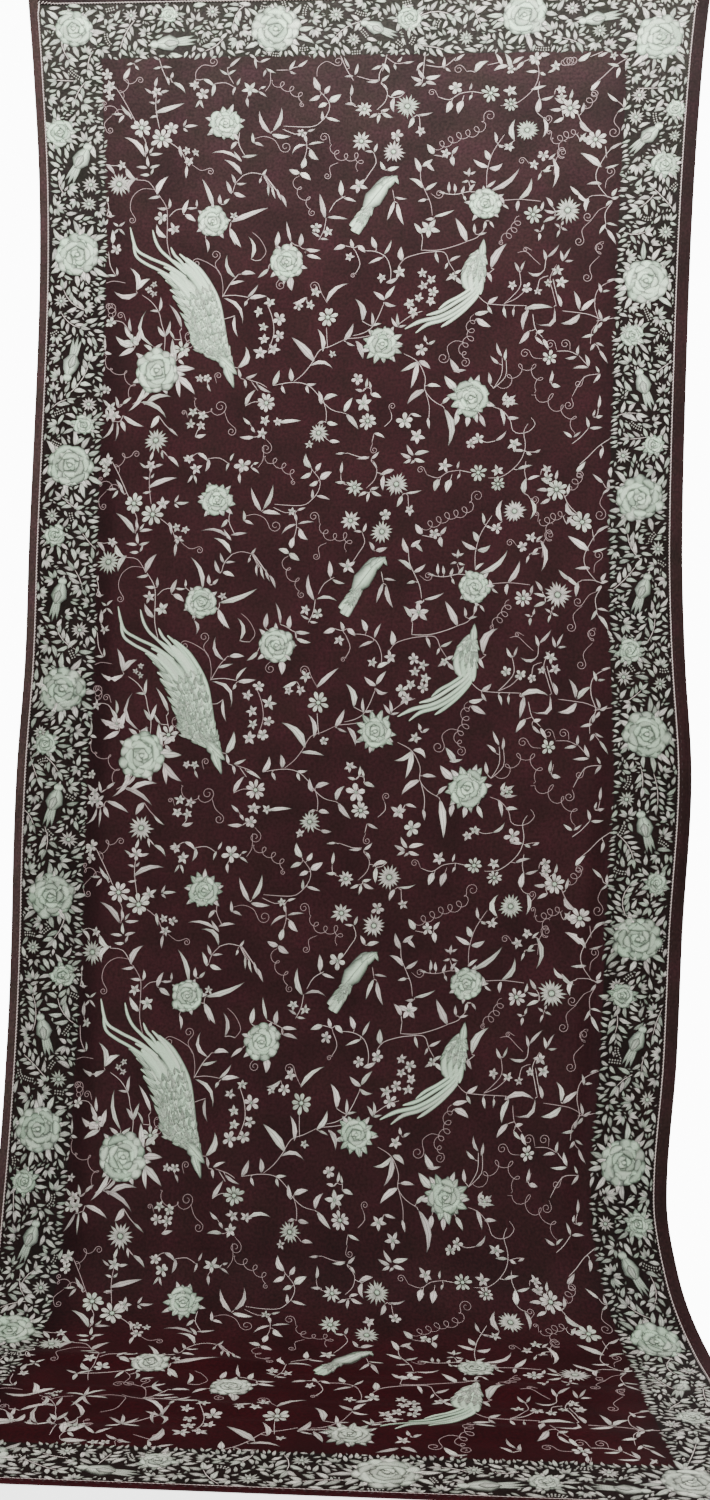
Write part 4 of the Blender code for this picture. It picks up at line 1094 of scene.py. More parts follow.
# The motifs of the floor end, worked in the last repeat only, where the phoenix has no room.
FOOT_LEAVES = (
    (178, 295, 162, 290, 4, -0.15), (178, 295, 192, 281, 4, 0.15), (178, 295, 172, 314, 5, 0.1),
    (178, 295, 188, 312, 4, -0.1), (178, 295, 177, 276, 4), (180, 297, 198, 301, 4, 0.1),
    (172, 351, 163, 331, 5, 0.15), (172, 351, 183, 333, 5, -0.15), (158, 352, 151, 334, 4, 0.2),
    (136, 324, 159, 311, 6, 0.2), (150, 314, 148, 298, 5, -0.2), (218, 342, 206, 331, 4),
    (218, 342, 229, 331, 4), (218, 342, 215, 324, 4), (218, 342, 233, 346, 4), (218, 342, 207, 349, 4),
    (203, 362, 192, 350, 4), (203, 362, 214, 353, 4), (221, 368, 211, 362, 4), (221, 368, 232, 372, 4),
    (243, 324, 231, 318, 4), (243, 324, 247, 340, 5, 0.2), (243, 324, 249, 308, 4), (159, 249, 148, 242, 4),
    (159, 249, 171, 241, 4), (159, 249, 160, 263, 5), (132, 296, 143, 290, 4), (196, 240, 206, 234, 4),
    (214, 256, 224, 252, 4), (196, 240, 192, 256, 4), (226, 270, 236, 264, 4), (240, 296, 252, 290, 4, 0.2),
)
FOOT_TENDRILS = (
    ((183, 298, 198, 290, 211, 297, 209, 314, 197, 322), 0), ((170, 297, 160, 300, 154, 305), -4),
    ((206, 288, 217, 297, 230, 302), 3), ((231, 361, 246, 367), 4), ((196, 240, 204, 252, 202, 264), 4),
)
FOOT_STEMS = (
    (172, 351, 171, 366), (218, 342, 232, 334, 243, 324), (159, 249, 178, 246, 196, 240),
)
# The three birds of the repeat, as long straps of stitches in cells of the chart: the width of each, the
# places it runs through from its tip to its root, and how wide its tip is. Their feathers are like leaves.
PHOENIX = (
    (15.0, (188, 284, 202, 308, 211, 334, 222, 358), 0.3),
    (13.0, (186, 268, 202, 286, 215, 312, 227, 346), 0.3),
    (12.0, (172, 275, 188, 292, 199, 316, 208, 344), 0.3),
    (3.2, (130, 230, 136, 251, 149, 260, 169, 269, 188, 281)),
    (3.2, (133, 243, 136, 258, 146, 266, 160, 273, 180, 284)),
    (3.2, (153, 233, 156, 244, 162, 254, 172, 263, 188, 278)),
    (3.2, (172, 251, 176, 259, 183, 266, 194, 282)),
    (6.0, (159, 275, 172, 281, 186, 293, 201, 314, 213, 341, 228, 364)),
    (6.0, (167, 283, 177, 290, 190, 305, 202, 326, 211, 346, 227, 365)),
    (5.5, (172, 293, 181, 299, 192, 312, 200, 330, 208, 349, 224, 363)),
    (5.5, (175, 299, 184, 306, 193, 320, 200, 337, 207, 352, 219, 361)),
    (5.0, (181, 306, 189, 314, 196, 328, 201, 345, 211, 357)),
    (5.0, (185, 311, 191, 320, 196, 333, 200, 349, 207, 355)),
    (4.5, (189, 316, 194, 326, 196, 338, 200, 350)),
    (6.0, (165, 270, 180, 277, 194, 292, 206, 314, 217, 342, 230, 366)),
    (6.0, (173, 263, 188, 275, 202, 292, 213, 316, 223, 343, 233, 366)),
    (5.5, (181, 258, 196, 272, 209, 290, 219, 312, 227, 339, 236, 367)),
    (4.5, (188, 262, 201, 273, 213, 289, 221, 305, 226, 326, 231, 350, 238, 368)),
)
PHOENIX_FEATHERS = (
    (178, 288, 159, 275, 4), (183, 295, 166, 281, 4), (188, 304, 173, 291, 4), (190, 312, 174, 300, 4),
    (193, 319, 179, 307, 4), (194, 327, 182, 315, 4), (196, 335, 187, 324, 4), (222, 357, 243, 376, 12),
    (229, 364, 240, 389, 9), (234, 370, 239, 389, 6),
)
LONG_TAIL = (
    (3.4, (443, 314, 452, 307, 463, 301, 474, 293, 480, 284)),
    (4.0, (431, 320, 445, 316, 460, 307, 476, 296, 483, 284)),
    (4.2, (410, 333, 425, 326, 445, 321, 463, 311, 479, 297, 485, 284)),
    (4.0, (421, 337, 432, 329, 448, 324, 465, 314, 481, 299, 486, 286)),
    (3.6, (446, 331, 458, 323, 470, 313, 482, 300)), (7.5, (472, 295, 468, 284, 471, 270, 482, 256)),
    (7.5, (476, 297, 474, 284, 477, 269, 485, 255)), (7.0, (481, 298, 480, 285, 482, 270, 486, 256)),
    (5.5, (484, 299, 485, 286, 486, 274, 487, 260)),
)
LONG_TAIL_FEATHERS = (
    (484, 264, 486, 244, 8), (482, 260, 491, 270, 6),
)
PERCHED = (
    (6.5, (353, 231, 360, 223, 366, 216, 372, 209), 0.8),
    (6.5, (359, 238, 364, 229, 369, 220, 374, 211), 0.8),
    (13.0, (369, 213, 374, 203, 382, 193, 391, 185), 0.5),
    (7.5, (355, 236, 362, 226, 368, 217, 374, 208), 0.8),
)
PERCHED_FEATHERS = (
    (365, 216, 394, 181, 18), (370, 211, 385, 192, 8), (382, 193, 399, 182, 12), (395, 182, 400, 191, 4),
)


Leaf = namedtuple("Leaf", "x y tip_x tip_y width bend", defaults=(0.0,))
Tendril = namedtuple("Tendril", "run curl loops loop_reach", defaults=(0, 2.6))
Strap = namedtuple("Strap", "width run tip", defaults=(0.25,))
BIRDS = ((PHOENIX, PHOENIX_FEATHERS), (LONG_TAIL, LONG_TAIL_FEATHERS), (PERCHED, PERCHED_FEATHERS))

# The chart of the field: its cells in metres, the cell at the cloth's middle and top, and its repeat.
CELL_ACROSS = 0.001507
CELL_DOWN = 0.00158
CELL = 0.00154
MIDDLE_CELL = 362
MIDDLE_ACROSS = 0.489
TOP_CELL = 5
REPEAT = 0.584
REPEATS = range(4)
# The motifs above this row of the chart are worked once, under the top band.
FIRST_ROW = 80

# A leaf nearer to a stem than the first needs no stalk, and no stalk is longer than the second.
SEWN_TOGETHER = 0.0026
LONGEST_STALK = 0.030
STALK_TONES = (0.70, 0.90)
STEM_TONES = (0.72, 0.92)
TENDRIL_TONE = 0.92
LEAF_TONES = (0.36, 0.44, 0.52, 0.58, 0.64)

# How far apart the places of a smooth path are: of a strap or a stalk, of a stem and of a tendril.
STRAP_STEP = 0.006
STEM_STEP = 0.007
TENDRIL_STEP = 0.004

# The plumes whose root ends have feathers over them: their widths, the share of them that is covered, and
# the distance from one pair of feathers to the next.
FEATHERED_WIDTHS = (4.8, 7.9)
FEATHERED_SHARE = 0.66
FEATHER_STEP = 0.0095

# The petals rolled round the heart of a rose, ring by ring: how far out, how many, how wide and how high.
ROLLED_PETALS = ((0.70, 7, 0.36, 0.0005), (0.45, 5, 0.32, 0.0008), (0.22, 3, 0.26, 0.0011))


def place_of(x, y, repeat):
    """The place on the flat cloth of one cell of the chart."""
    return (MIDDLE_ACROSS + (x - MIDDLE_CELL) * CELL_ACROSS,
            HEM_END + (y - TOP_CELL) * CELL_DOWN + repeat * REPEAT)


def places_of(run, repeat):
    """The places of a run of cells, each given by its x and then its y."""
    return [place_of(x, y, repeat) for x, y in zip(run[::2], run[1::2])]


def on_field(place):
    across, down = place
    return LEFT_SEAM <= across <= RIGHT_SEAM and TOP_SEAM <= down <= FOOT_SEAM


def drawn_in(places, reach=0.012, margin=0.001):
    """The places moved into the field where they lie a little past its edge, or none where it is more."""
    across, down = zip(*places)
    right = max(0.0, LEFT_SEAM + margin - min(across)) - max(0.0, max(across) - RIGHT_SEAM + margin)
    lower = max(0.0, TOP_SEAM + margin - min(down)) - max(0.0, max(down) - FOOT_SEAM + margin)
    if abs(right) > reach or abs(lower) > reach:
        return []
    return [(x + right, y + lower) for x, y in places]


def toward(place, angle, distance):
    """The place at this distance and angle, with the angle turning from across to up."""
    return (place[0] + math.cos(angle) * distance, place[1] - math.sin(angle) * distance)


def heading_to(start, end):
    return math.atan2(start[1] - end[1], end[0] - start[0])


def smooth_path(places, step):
    """Places along a smooth curve through the given ones, about a step apart."""
    line = [places[0], *places, places[-1]]
    path = [places[0]]
    for index in range(1, len(line) - 2):
        p0, p1, p2, p3 = (np.array(line[index + shift], float) for shift in (-1, 0, 1, 2))
        count = max(2, math.ceil(np.linalg.norm(p2 - p1) / step))
        for part in range(1, count + 1):
            t = part / count
            point = 0.5 * (2 * p1 + (p2 - p0) * t + (2 * p0 - 5 * p1 + 4 * p2 - p3) * t * t
                           + (3 * p1 - p0 - 3 * p2 + p3) * t ** 3)
            path.append((float(point[0]), float(point[1])))
    return path


def tapered(count, width, start=0.55, end=0.55, share=0.15):
    """Half widths for a strand of this many places, finer over a share of its length at each end."""
    widths = []
    for index in range(count):
        t = index / max(1, count - 1)
        rise = min(1.0, start + (1.0 - start) * t / share)
        fall = min(1.0, end + (1.0 - end) * (1.0 - t) / share)
        widths.append(width * min(rise, fall))
    return widths


def curl(place, heading, reach, turns=1.35, pieces=16, wound_in=0.78):
    """A spiral that winds in from a place: to the left for a positive reach, to the right otherwise."""
    side = 1.0 if reach > 0 else -1.0
    radius = abs(reach)
    middle = toward(place, heading + side * math.pi / 2, radius)
    start = heading - side * math.pi / 2
    return [toward(middle, start + side * math.tau * turns * t, radius * (1.0 - wound_in * t))
            for t in (index / pieces for index in range(1, pieces + 1))]


def looped(path, loops, reach, pieces=12):
    """Throw this many round loops of thread along a path."""
    points = np.array(path)
    steps = np.linalg.norm(np.diff(points, axis=0), axis=1)
    lengths = np.concatenate(((0.0,), np.cumsum(steps)))
    total = loops * pieces
    made = []
    for index in range(total + 1):
        t = index / total
        middle = [float(np.interp(t * lengths[-1], lengths, points[:, axis])) for axis in (0, 1)]
        made.append(toward(middle, math.tau * loops * t, reach * min(1.0, 6.0 * t, 6.0 * (1.0 - t))))
    return made


def ray_patch(centre, angle, inner, outer, breadth, kind, **finish):
    """A patch that points away from a centre, from an inner to an outer distance."""
    return patch(toward(centre, angle, inner), toward(centre, angle, outer), breadth, kind, **finish)


def round_patch(centre, across, kind, **finish):
    """A round patch of stitches about a centre."""
    half = across / 2.0
    return patch((centre[0] - half, centre[1]), (centre[0] + half, centre[1]), across, kind, **finish)


def blossom(centre, reach, rng):
    """A small blossom of five uneven petals, round or pointed."""
    start = rng.uniform(0, math.tau)
    tone = rng.uniform(0.34, 0.60)
    kind, breadth = rng.choice(((PETAL, 0.54), (SPRIG, 0.48), (LEAF, 0.42)))
    made = []
    for index in range(5):
        angle = start + math.tau * index / 5 + rng.uniform(-0.2, 0.2)
        made.append(ray_patch(centre, angle, 0.06 * reach, reach * rng.uniform(0.80, 1.12), reach * breadth,
                              kind, tone=tone, light=rng.uniform(0.72, 1.08)))
    made.append(round_patch(centre, reach * 0.30, SPRIG, lift=0.0004, tone=GREEN, light=0.80))
    return made


def daisy(centre, reach, rng, count, share):
    """A daisy of many narrow petals round a small disc."""
    start = rng.uniform(0, math.tau)
    kind = SPRIG if share < 0.36 else PETAL
    breadth = reach * share * (0.82 if kind == SPRIG else 0.72)
    tone = rng.uniform(0.20, 0.50)
    made = []
    for index in range(count):
        angle = start + math.tau * (index + rng.uniform(-0.15, 0.15)) / count
        made.append(ray_patch(centre, angle, reach * 0.17, reach * rng.uniform(0.76, 1.02), breadth, kind,
                              tone=tone, light=rng.uniform(0.78, 1.10)))
    made.append(round_patch(centre, reach * 0.36, GRAIN, lift=0.0004, tone=GREEN, light=0.78))
    return made


def rose(centre, reach, rng, count, point, light=1.0):
    """A full rose: sepals and a scalloped or pointed outline, then petals rolled round its heart."""
    start = rng.uniform(0, math.tau)
    beds = [toward(centre, math.tau * index / 6, reach * (0.46 if index < 6 else 0.0)) for index in range(7)]
    made = [round_patch(bed, reach * 0.68, GRAIN, tone=GREEN, light=0.80 * light, lift=0.0001)
            for bed in beds]
    for index in range(5):
        angle = start + math.tau * (index + rng.uniform(-0.3, 0.3)) / 5
        made.append(ray_patch(centre, angle, reach * 0.5, reach * rng.uniform(1.12, 1.30), reach * 0.30, LEAF,
                              tone=0.45, light=rng.uniform(0.9, 1.1)))
    outside = count + 2
    for index in range(outside):
        angle = start + math.tau * (index + rng.uniform(-0.18, 0.18)) / outside
        outer = reach * rng.uniform(0.88, 1.00 + 0.24 * point)
        breadth = math.tau * reach / outside * (1.10 - 0.32 * point)
        made.append(ray_patch(centre, angle, reach * (0.42 - 0.1 * point), outer, breadth,
                              LEAF if point > 0.5 else LOBE, tone=rng.uniform(0.0, 0.2),
                              light=light * rng.uniform(0.62, 1.10), lift=0.0002 + 0.00002 * index))
    for radius, petals, breadth, lift in ROLLED_PETALS:
        start += 0.7
        for index in range(petals):
            angle = start + math.tau * (index + rng.uniform(-0.3, 0.3)) / petals
            span = min(2.3, math.tau / petals * rng.uniform(0.9, 1.5))
            away = reach * radius * rng.uniform(0.82, 1.14)
            first = toward(centre, angle - span / 2, away * rng.uniform(0.80, 1.04))
            made.append(patch(first, toward(centre, angle + span / 2, away), reach * breadth, GRAIN,
                              bow=-0.5 * math.tan(span / 4.0), tone=rng.uniform(0.0, 0.14),
                              light=light * rng.uniform(0.58, 1.12), lift=lift + 0.00004 * index))
    made.append(round_patch(centre, reach * 0.20, GRAIN, tone=0.1, light=light * 0.96, lift=0.0014))
    return made


def feathers_over(path, half, rng):
    """Feathers in pairs over the root end of a plume, lighter and darker by turns."""
    made = []
    count = max(2, round(math.dist(path[0], path[-1]) * FEATHERED_SHARE / FEATHER_STEP))
    for index in range(count):
        spot = len(path) - 2 - round((len(path) - 3) * FEATHERED_SHARE * index / count)
        here = path[spot]
        heading = heading_to(here, path[spot - 1])
        for side in (-1.0, 1.0):
            base = toward(here, heading + side * math.pi / 2, half * 0.15)
            tip = toward(base, heading + side * rng.uniform(0.30, 0.50), rng.uniform(0.012, 0.015))
            made.append(patch(base, tip, 0.0046, LEAF, tone=rng.uniform(0.0, 0.2),
                              light=rng.choice((0.66, 0.90, 1.14)), lift=0.0006 + 0.0001 * (index % 3)))
    return made


def bird_in(repeat, straps, feathers, rng):
    """One bird of the chart: its straps as strands and its head, crest and beak as patches."""
    straps = [(Strap(*row), places_of(row[1], repeat)) for row in straps]
    feathers = [(Leaf(*row), places_of(row[:4], repeat)) for row in feathers]
    reached = [place for _, places in straps for place in places] + [tip for _, (_, tip) in feathers]
    if not all(on_field(place) for place in reached):
        return [], []
    strands = []
    patches = []
    for strap, places in straps:
        path = smooth_path(places, STRAP_STEP)
        half = strap.width * CELL * 0.5
        strands.append(Strand(path, tapered(len(path), half, strap.tip, 0.6), 0.0003, rng.uniform(0.02, 0.16),
                              rng.uniform(0.80, 1.02)))
        if FEATHERED_WIDTHS[0] < strap.width < FEATHERED_WIDTHS[1]:
            patches += feathers_over(path, half, rng)
    for row, places in feathers:
        patches.append(patch(*places, row.width * CELL, LEAF, tone=0.08, light=1.0, lift=0.0007))
    return strands, patches


def field_leaf(row, places, rng):
    tone = rng.choice(LEAF_TONES)
    breadth = min(row.width * 0.74 * CELL, math.dist(*places) * 0.48)
    bow = row.bend + rng.uniform(-0.09, 0.09)
    return patch(*places, breadth, LEAF, bow=bow, tone=tone, light=rng.uniform(0.66, 1.14))


def worked(rows, height_of, foot_rows=()):
    """Each row with every repeat it is worked in, then the rows of the floor end in the last repeat."""
    for row in rows:
        for repeat in REPEATS if height_of(row) >= FIRST_ROW else REPEATS[:1]:
            yield row, repeat
    for row in foot_rows:
        yield row, REPEATS[-1]


def middle_height(run):
    return sum(run[1::2]) / len(run[1::2])


def stalks(plan, half, rng):
    """A short stalk from each leaf of the field to the nearest stem, tendril, flower or other leaf."""
    held = [place for strand in plan["stems"] + plan["tendrils"] + plan["straps"] for place in strand.places]
    held += [(row.across, row.down) for row in plan["flowers"] + plan["roses"] + plan["feathers"]]
    held = np.array(held)
    bases = np.array([(row.across, row.down) for row in plan["leaves"]])
    made = []
    for index, base in enumerate(bases):
        others = np.concatenate((held, bases[:index], bases[index + 1:]))
        away = np.linalg.norm(others - base, axis=1)
        away[away < SEWN_TOGETHER] = 0.0
        nearest = int(np.argmin(away))
        if SEWN_TOGETHER <= away[nearest] <= LONGEST_STALK:
            end = others[nearest]
            side = np.array((base[1] - end[1], end[0] - base[0])) * rng.uniform(-0.18, 0.18)
            path = smooth_path([tuple(base), tuple((base + end) / 2 + side), tuple(end)], STRAP_STEP)
            made.append(Strand(path, [half] * len(path), -0.0003, rng.uniform(*STALK_TONES), 0.90))
    return made


# The kinds of flower: its maker, its rows, its piece, and the share of its charted reach it is worked at.
FLOWERS = ((blossom, FIELD_BLOSSOMS, "flowers", 0.96), (daisy, FIELD_DAISIES, "flowers", 0.88),
           (rose, FIELD_ROSES, "roses", 0.91))


@lru_cache(maxsize=None)
def field_plan():
    """All the patches and strands of the field, by name, over every repeat that reaches into it."""
    rng = random.Random(11)
    settings = bpy.context.scene.dupatta_thread
    plan = {name: [] for name in "leaves flowers roses feathers straps stems tendrils".split()}
    for row, repeat in worked(FIELD_LEAVES, lambda row: middle_height(row[:4]), FOOT_LEAVES):
        places = drawn_in(places_of(row[:4], repeat))
        if places:
            plan["leaves"].append(field_leaf(Leaf(*row), places, rng))
    for maker, rows, name, share in FLOWERS:
        for (x, y, reach, *more), repeat in worked(rows, lambda row: row[1]):
            reach = reach * CELL * share
            centre = place_of(x, y, repeat)
            sides = drawn_in([toward(centre, math.pi / 2 * turn, reach * 0.9) for turn in range(4)])
            if sides:
                plan[name] += maker(((sides[0][0] + sides[2][0]) / 2, sides[0][1]), reach, rng, *more)
    for repeat in REPEATS:
        for straps, feathers in BIRDS:
            strands, patches = bird_in(repeat, straps, feathers, rng)
            plan["straps"] += strands
            plan["feathers"] += patches
    for run, repeat in worked(FIELD_STEMS, middle_height, FOOT_STEMS):
        places = drawn_in(places_of(run, repeat))
        if places:
            path = smooth_path(places, STEM_STEP)
            widths = tapered(len(path), settings.stem)
            plan["stems"].append(Strand(path, widths, -0.0002, rng.uniform(*STEM_TONES), 0.86))
    for row, repeat in worked(FIELD_TENDRILS, lambda row: middle_height(row[0]), FOOT_TENDRILS):
        tendril = Tendril(*row)
        places = drawn_in(places_of(tendril.run, repeat))
        if places:
            path = smooth_path(places, TENDRIL_STEP)
            if tendril.loops:
                path = looped(path, tendril.loops, tendril.loop_reach * 1.5 * CELL)
            if tendril.curl:
                path += curl(path[-1], heading_to(*path[-2:]), tendril.curl * CELL * 1.2)
            widths = tapered(len(path), settings.tendril)
            plan["tendrils"].append(Strand(path, widths, -0.0003, TENDRIL_TONE, 0.92))
    plan["stems"] += stalks(plan, settings.stem * 0.85, rng)
    return plan


# The main motifs of the bands, each listed: metres from the left cut edge and from the top one.
# Roses: the reach, how many outer petals, and how pointed they are.
BAND_ROSES = (
    (0.064, 0.050, 0.030, 9, 0.1), (0.058, 0.408, 0.036, 10, 0.1), (0.058, 0.735, 0.035, 9, 0.2),
    (0.060, 1.076, 0.035, 10, 0.1), (0.058, 1.384, 0.034, 9, 0.2), (0.056, 1.722, 0.034, 10, 0.1),
    (0.058, 2.020, 0.035, 9, 0.2), (0.918, 0.078, 0.037, 10, 0.2), (0.920, 0.455, 0.036, 9, 0.1),
    (0.920, 0.785, 0.036, 10, 0.2), (0.922, 1.135, 0.036, 9, 0.1), (0.920, 1.433, 0.035, 10, 0.2),
    (0.920, 1.748, 0.034, 9, 0.1), (0.922, 2.000, 0.035, 10, 0.2), (0.362, 0.056, 0.037, 10, 0.2),
    (0.722, 0.040, 0.034, 9, 0.1), (0.140, 2.394, 0.036, 10, 0.1), (0.570, 2.396, 0.037, 9, 0.2),
    (0.880, 2.392, 0.034, 10, 0.2),
    (0.034, 0.215, 0.025, 8, 1.0), (0.076, 0.672, 0.018, 8, 1.0), (0.040, 0.842, 0.019, 8, 1.0),
    (0.042, 1.158, 0.019, 8, 1.0), (0.078, 1.500, 0.019, 8, 1.0), (0.042, 1.795, 0.020, 8, 1.0),
    (0.060, 2.180, 0.022, 8, 1.0), (0.949, 0.190, 0.016, 7, 1.0), (0.939, 0.276, 0.022, 8, 1.0),
    (0.902, 0.538, 0.019, 8, 1.0), (0.940, 0.704, 0.018, 7, 1.0), (0.904, 1.012, 0.020, 8, 1.0),
    (0.942, 1.352, 0.019, 8, 1.0), (0.902, 1.514, 0.019, 8, 1.0), (0.940, 1.830, 0.020, 8, 1.0),
    (0.918, 2.220, 0.020, 8, 1.0), (0.556, 0.042, 0.020, 8, 1.0), (0.206, 0.030, 0.014, 7, 1.0),
    (0.330, 2.386, 0.021, 8, 1.0), (0.730, 2.404, 0.020, 8, 1.0),
)
# Daisies: the reach and how many petals.
BAND_DAISIES = (
    (0.079, 0.298, 0.015, 12), (0.076, 0.328, 0.014, 12), (0.034, 0.480, 0.013, 11),
    (0.082, 0.640, 0.014, 12), (0.034, 0.812, 0.013, 11), (0.080, 0.985, 0.014, 12),
    (0.032, 1.140, 0.013, 11), (0.080, 1.300, 0.014, 12), (0.034, 1.460, 0.013, 11),
    (0.080, 1.650, 0.014, 12), (0.034, 1.790, 0.013, 11), (0.082, 1.940, 0.014, 12),
    (0.034, 2.090, 0.013, 11), (0.082, 2.250, 0.014, 12), (0.896, 0.168, 0.014, 12),
    (0.893, 0.202, 0.014, 12), (0.951, 0.232, 0.011, 10), (0.946, 0.380, 0.014, 12),
    (0.894, 0.530, 0.013, 11), (0.946, 0.560, 0.013, 11), (0.894, 0.720, 0.014, 12),
    (0.948, 0.860, 0.013, 11), (0.894, 1.050, 0.014, 12), (0.946, 1.060, 0.012, 11),
    (0.894, 1.230, 0.014, 12), (0.948, 1.360, 0.013, 11), (0.894, 1.500, 0.013, 11),
    (0.946, 1.660, 0.014, 12), (0.894, 1.830, 0.013, 11), (0.946, 2.070, 0.014, 12),
    (0.892, 2.240, 0.013, 11), (0.150, 0.030, 0.013, 11), (0.270, 0.026, 0.013, 12),
    (0.450, 0.034, 0.014, 12), (0.476, 0.074, 0.012, 11), (0.640, 0.074, 0.013, 12),
    (0.790, 0.030, 0.013, 11), (0.832, 0.066, 0.013, 12), (0.230, 2.370, 0.013, 11),
    (0.430, 2.420, 0.014, 12), (0.480, 2.372, 0.013, 11), (0.660, 2.380, 0.013, 12),
    (0.800, 2.374, 0.013, 11), (0.050, 2.404, 0.015, 12),
)
# Birds: the place of the crown of each, and of the end of its tail.
BAND_BIRDS = (
    ((0.080, 0.232), (0.044, 0.296)), ((0.046, 0.606), (0.062, 0.536)), ((0.056, 0.906), (0.040, 0.972)),
    ((0.066, 1.216), (0.050, 1.282)), ((0.048, 1.556), (0.066, 1.618)), ((0.066, 1.846), (0.046, 1.906)),
    ((0.040, 2.130), (0.072, 2.086)), ((0.932, 0.212), (0.886, 0.258)), ((0.912, 0.588), (0.934, 0.650)),
    ((0.934, 0.896), (0.912, 0.958)), ((0.912, 1.246), (0.932, 1.308)), ((0.934, 1.556), (0.910, 1.616)),
    ((0.908, 1.866), (0.934, 1.926)), ((0.934, 2.106), (0.912, 2.166)), ((0.176, 0.078), (0.246, 0.070)),
    ((0.486, 0.046), (0.540, 0.070)), ((0.800, 0.052), (0.862, 0.040)), ((0.250, 2.408), (0.318, 2.420)),
    ((0.640, 2.420), (0.712, 2.410)), ((0.836, 2.416), (0.776, 2.408)),
)
# The corners of the field, where the bands meet it.
BAND_CORNERS = ((LEFT_SEAM, TOP_SEAM), (RIGHT_SEAM, TOP_SEAM),
                (RIGHT_SEAM, FOOT_SEAM), (LEFT_SEAM, FOOT_SEAM))

# The cell that the room left on the bands is kept in, and how far inside the hem a leaf stays.
ROOM_CELL = 0.0011
HEM_GAP = 0.002
# The middle share of a leaf that has to find bare cloth: its rims may lie over its neighbours.
BARE_SHARE = 0.62
# How far past a band a leaf may reach into the field: from a flower's tuft, from the fringe, in a cluster,
# a berry and a single leaf.
TUFT_PAST, FRINGE_PAST, CLUSTER_PAST, BERRY_PAST, LEAF_PAST = 0.008, 0.007, 0.006, 0.002, 0.005
# The distance from one leaf of the fringe to the next.
FRINGE_STEP = 0.0080
# A rose is large beyond this reach. The leaves round a smaller one have this share of their size.
LARGE_ROSE = 0.028
SMALL_SHARE = 0.72
# The tufts round a flower: how many, and the length and breadth of their leaves.
TUFTS = ((4, 0.027, 0.0084), (5, 0.019, 0.0062))
# The single leaves that fill the bands, the longest first: length, how many are tried, and the gap kept.
SINGLE_LEAVES = ((0.019, 16000, 0.0005), (0.015, 24000, 0.0004), (0.0115, 34000, 0.0004),
                 (0.0085, 40000, 0.0003), (0.0062, 30000, 0.0002))


def in_band(place, past):
    """True on the bands, and as far as this past them into the field."""
    across, down = place
    if not (HEM_LEFT + HEM_GAP <= across <= INNER_RIGHT - HEM_GAP
            and HEM_END + HEM_GAP <= down <= INNER_FOOT - HEM_GAP):
        return False
    return (across < LEFT_SEAM + past or across > RIGHT_SEAM - past
            or down < TOP_SEAM + past or down > FOOT_SEAM - past)


def between(start, end, share):
    return tuple(a + (b - a) * share for a, b in zip(start, end))


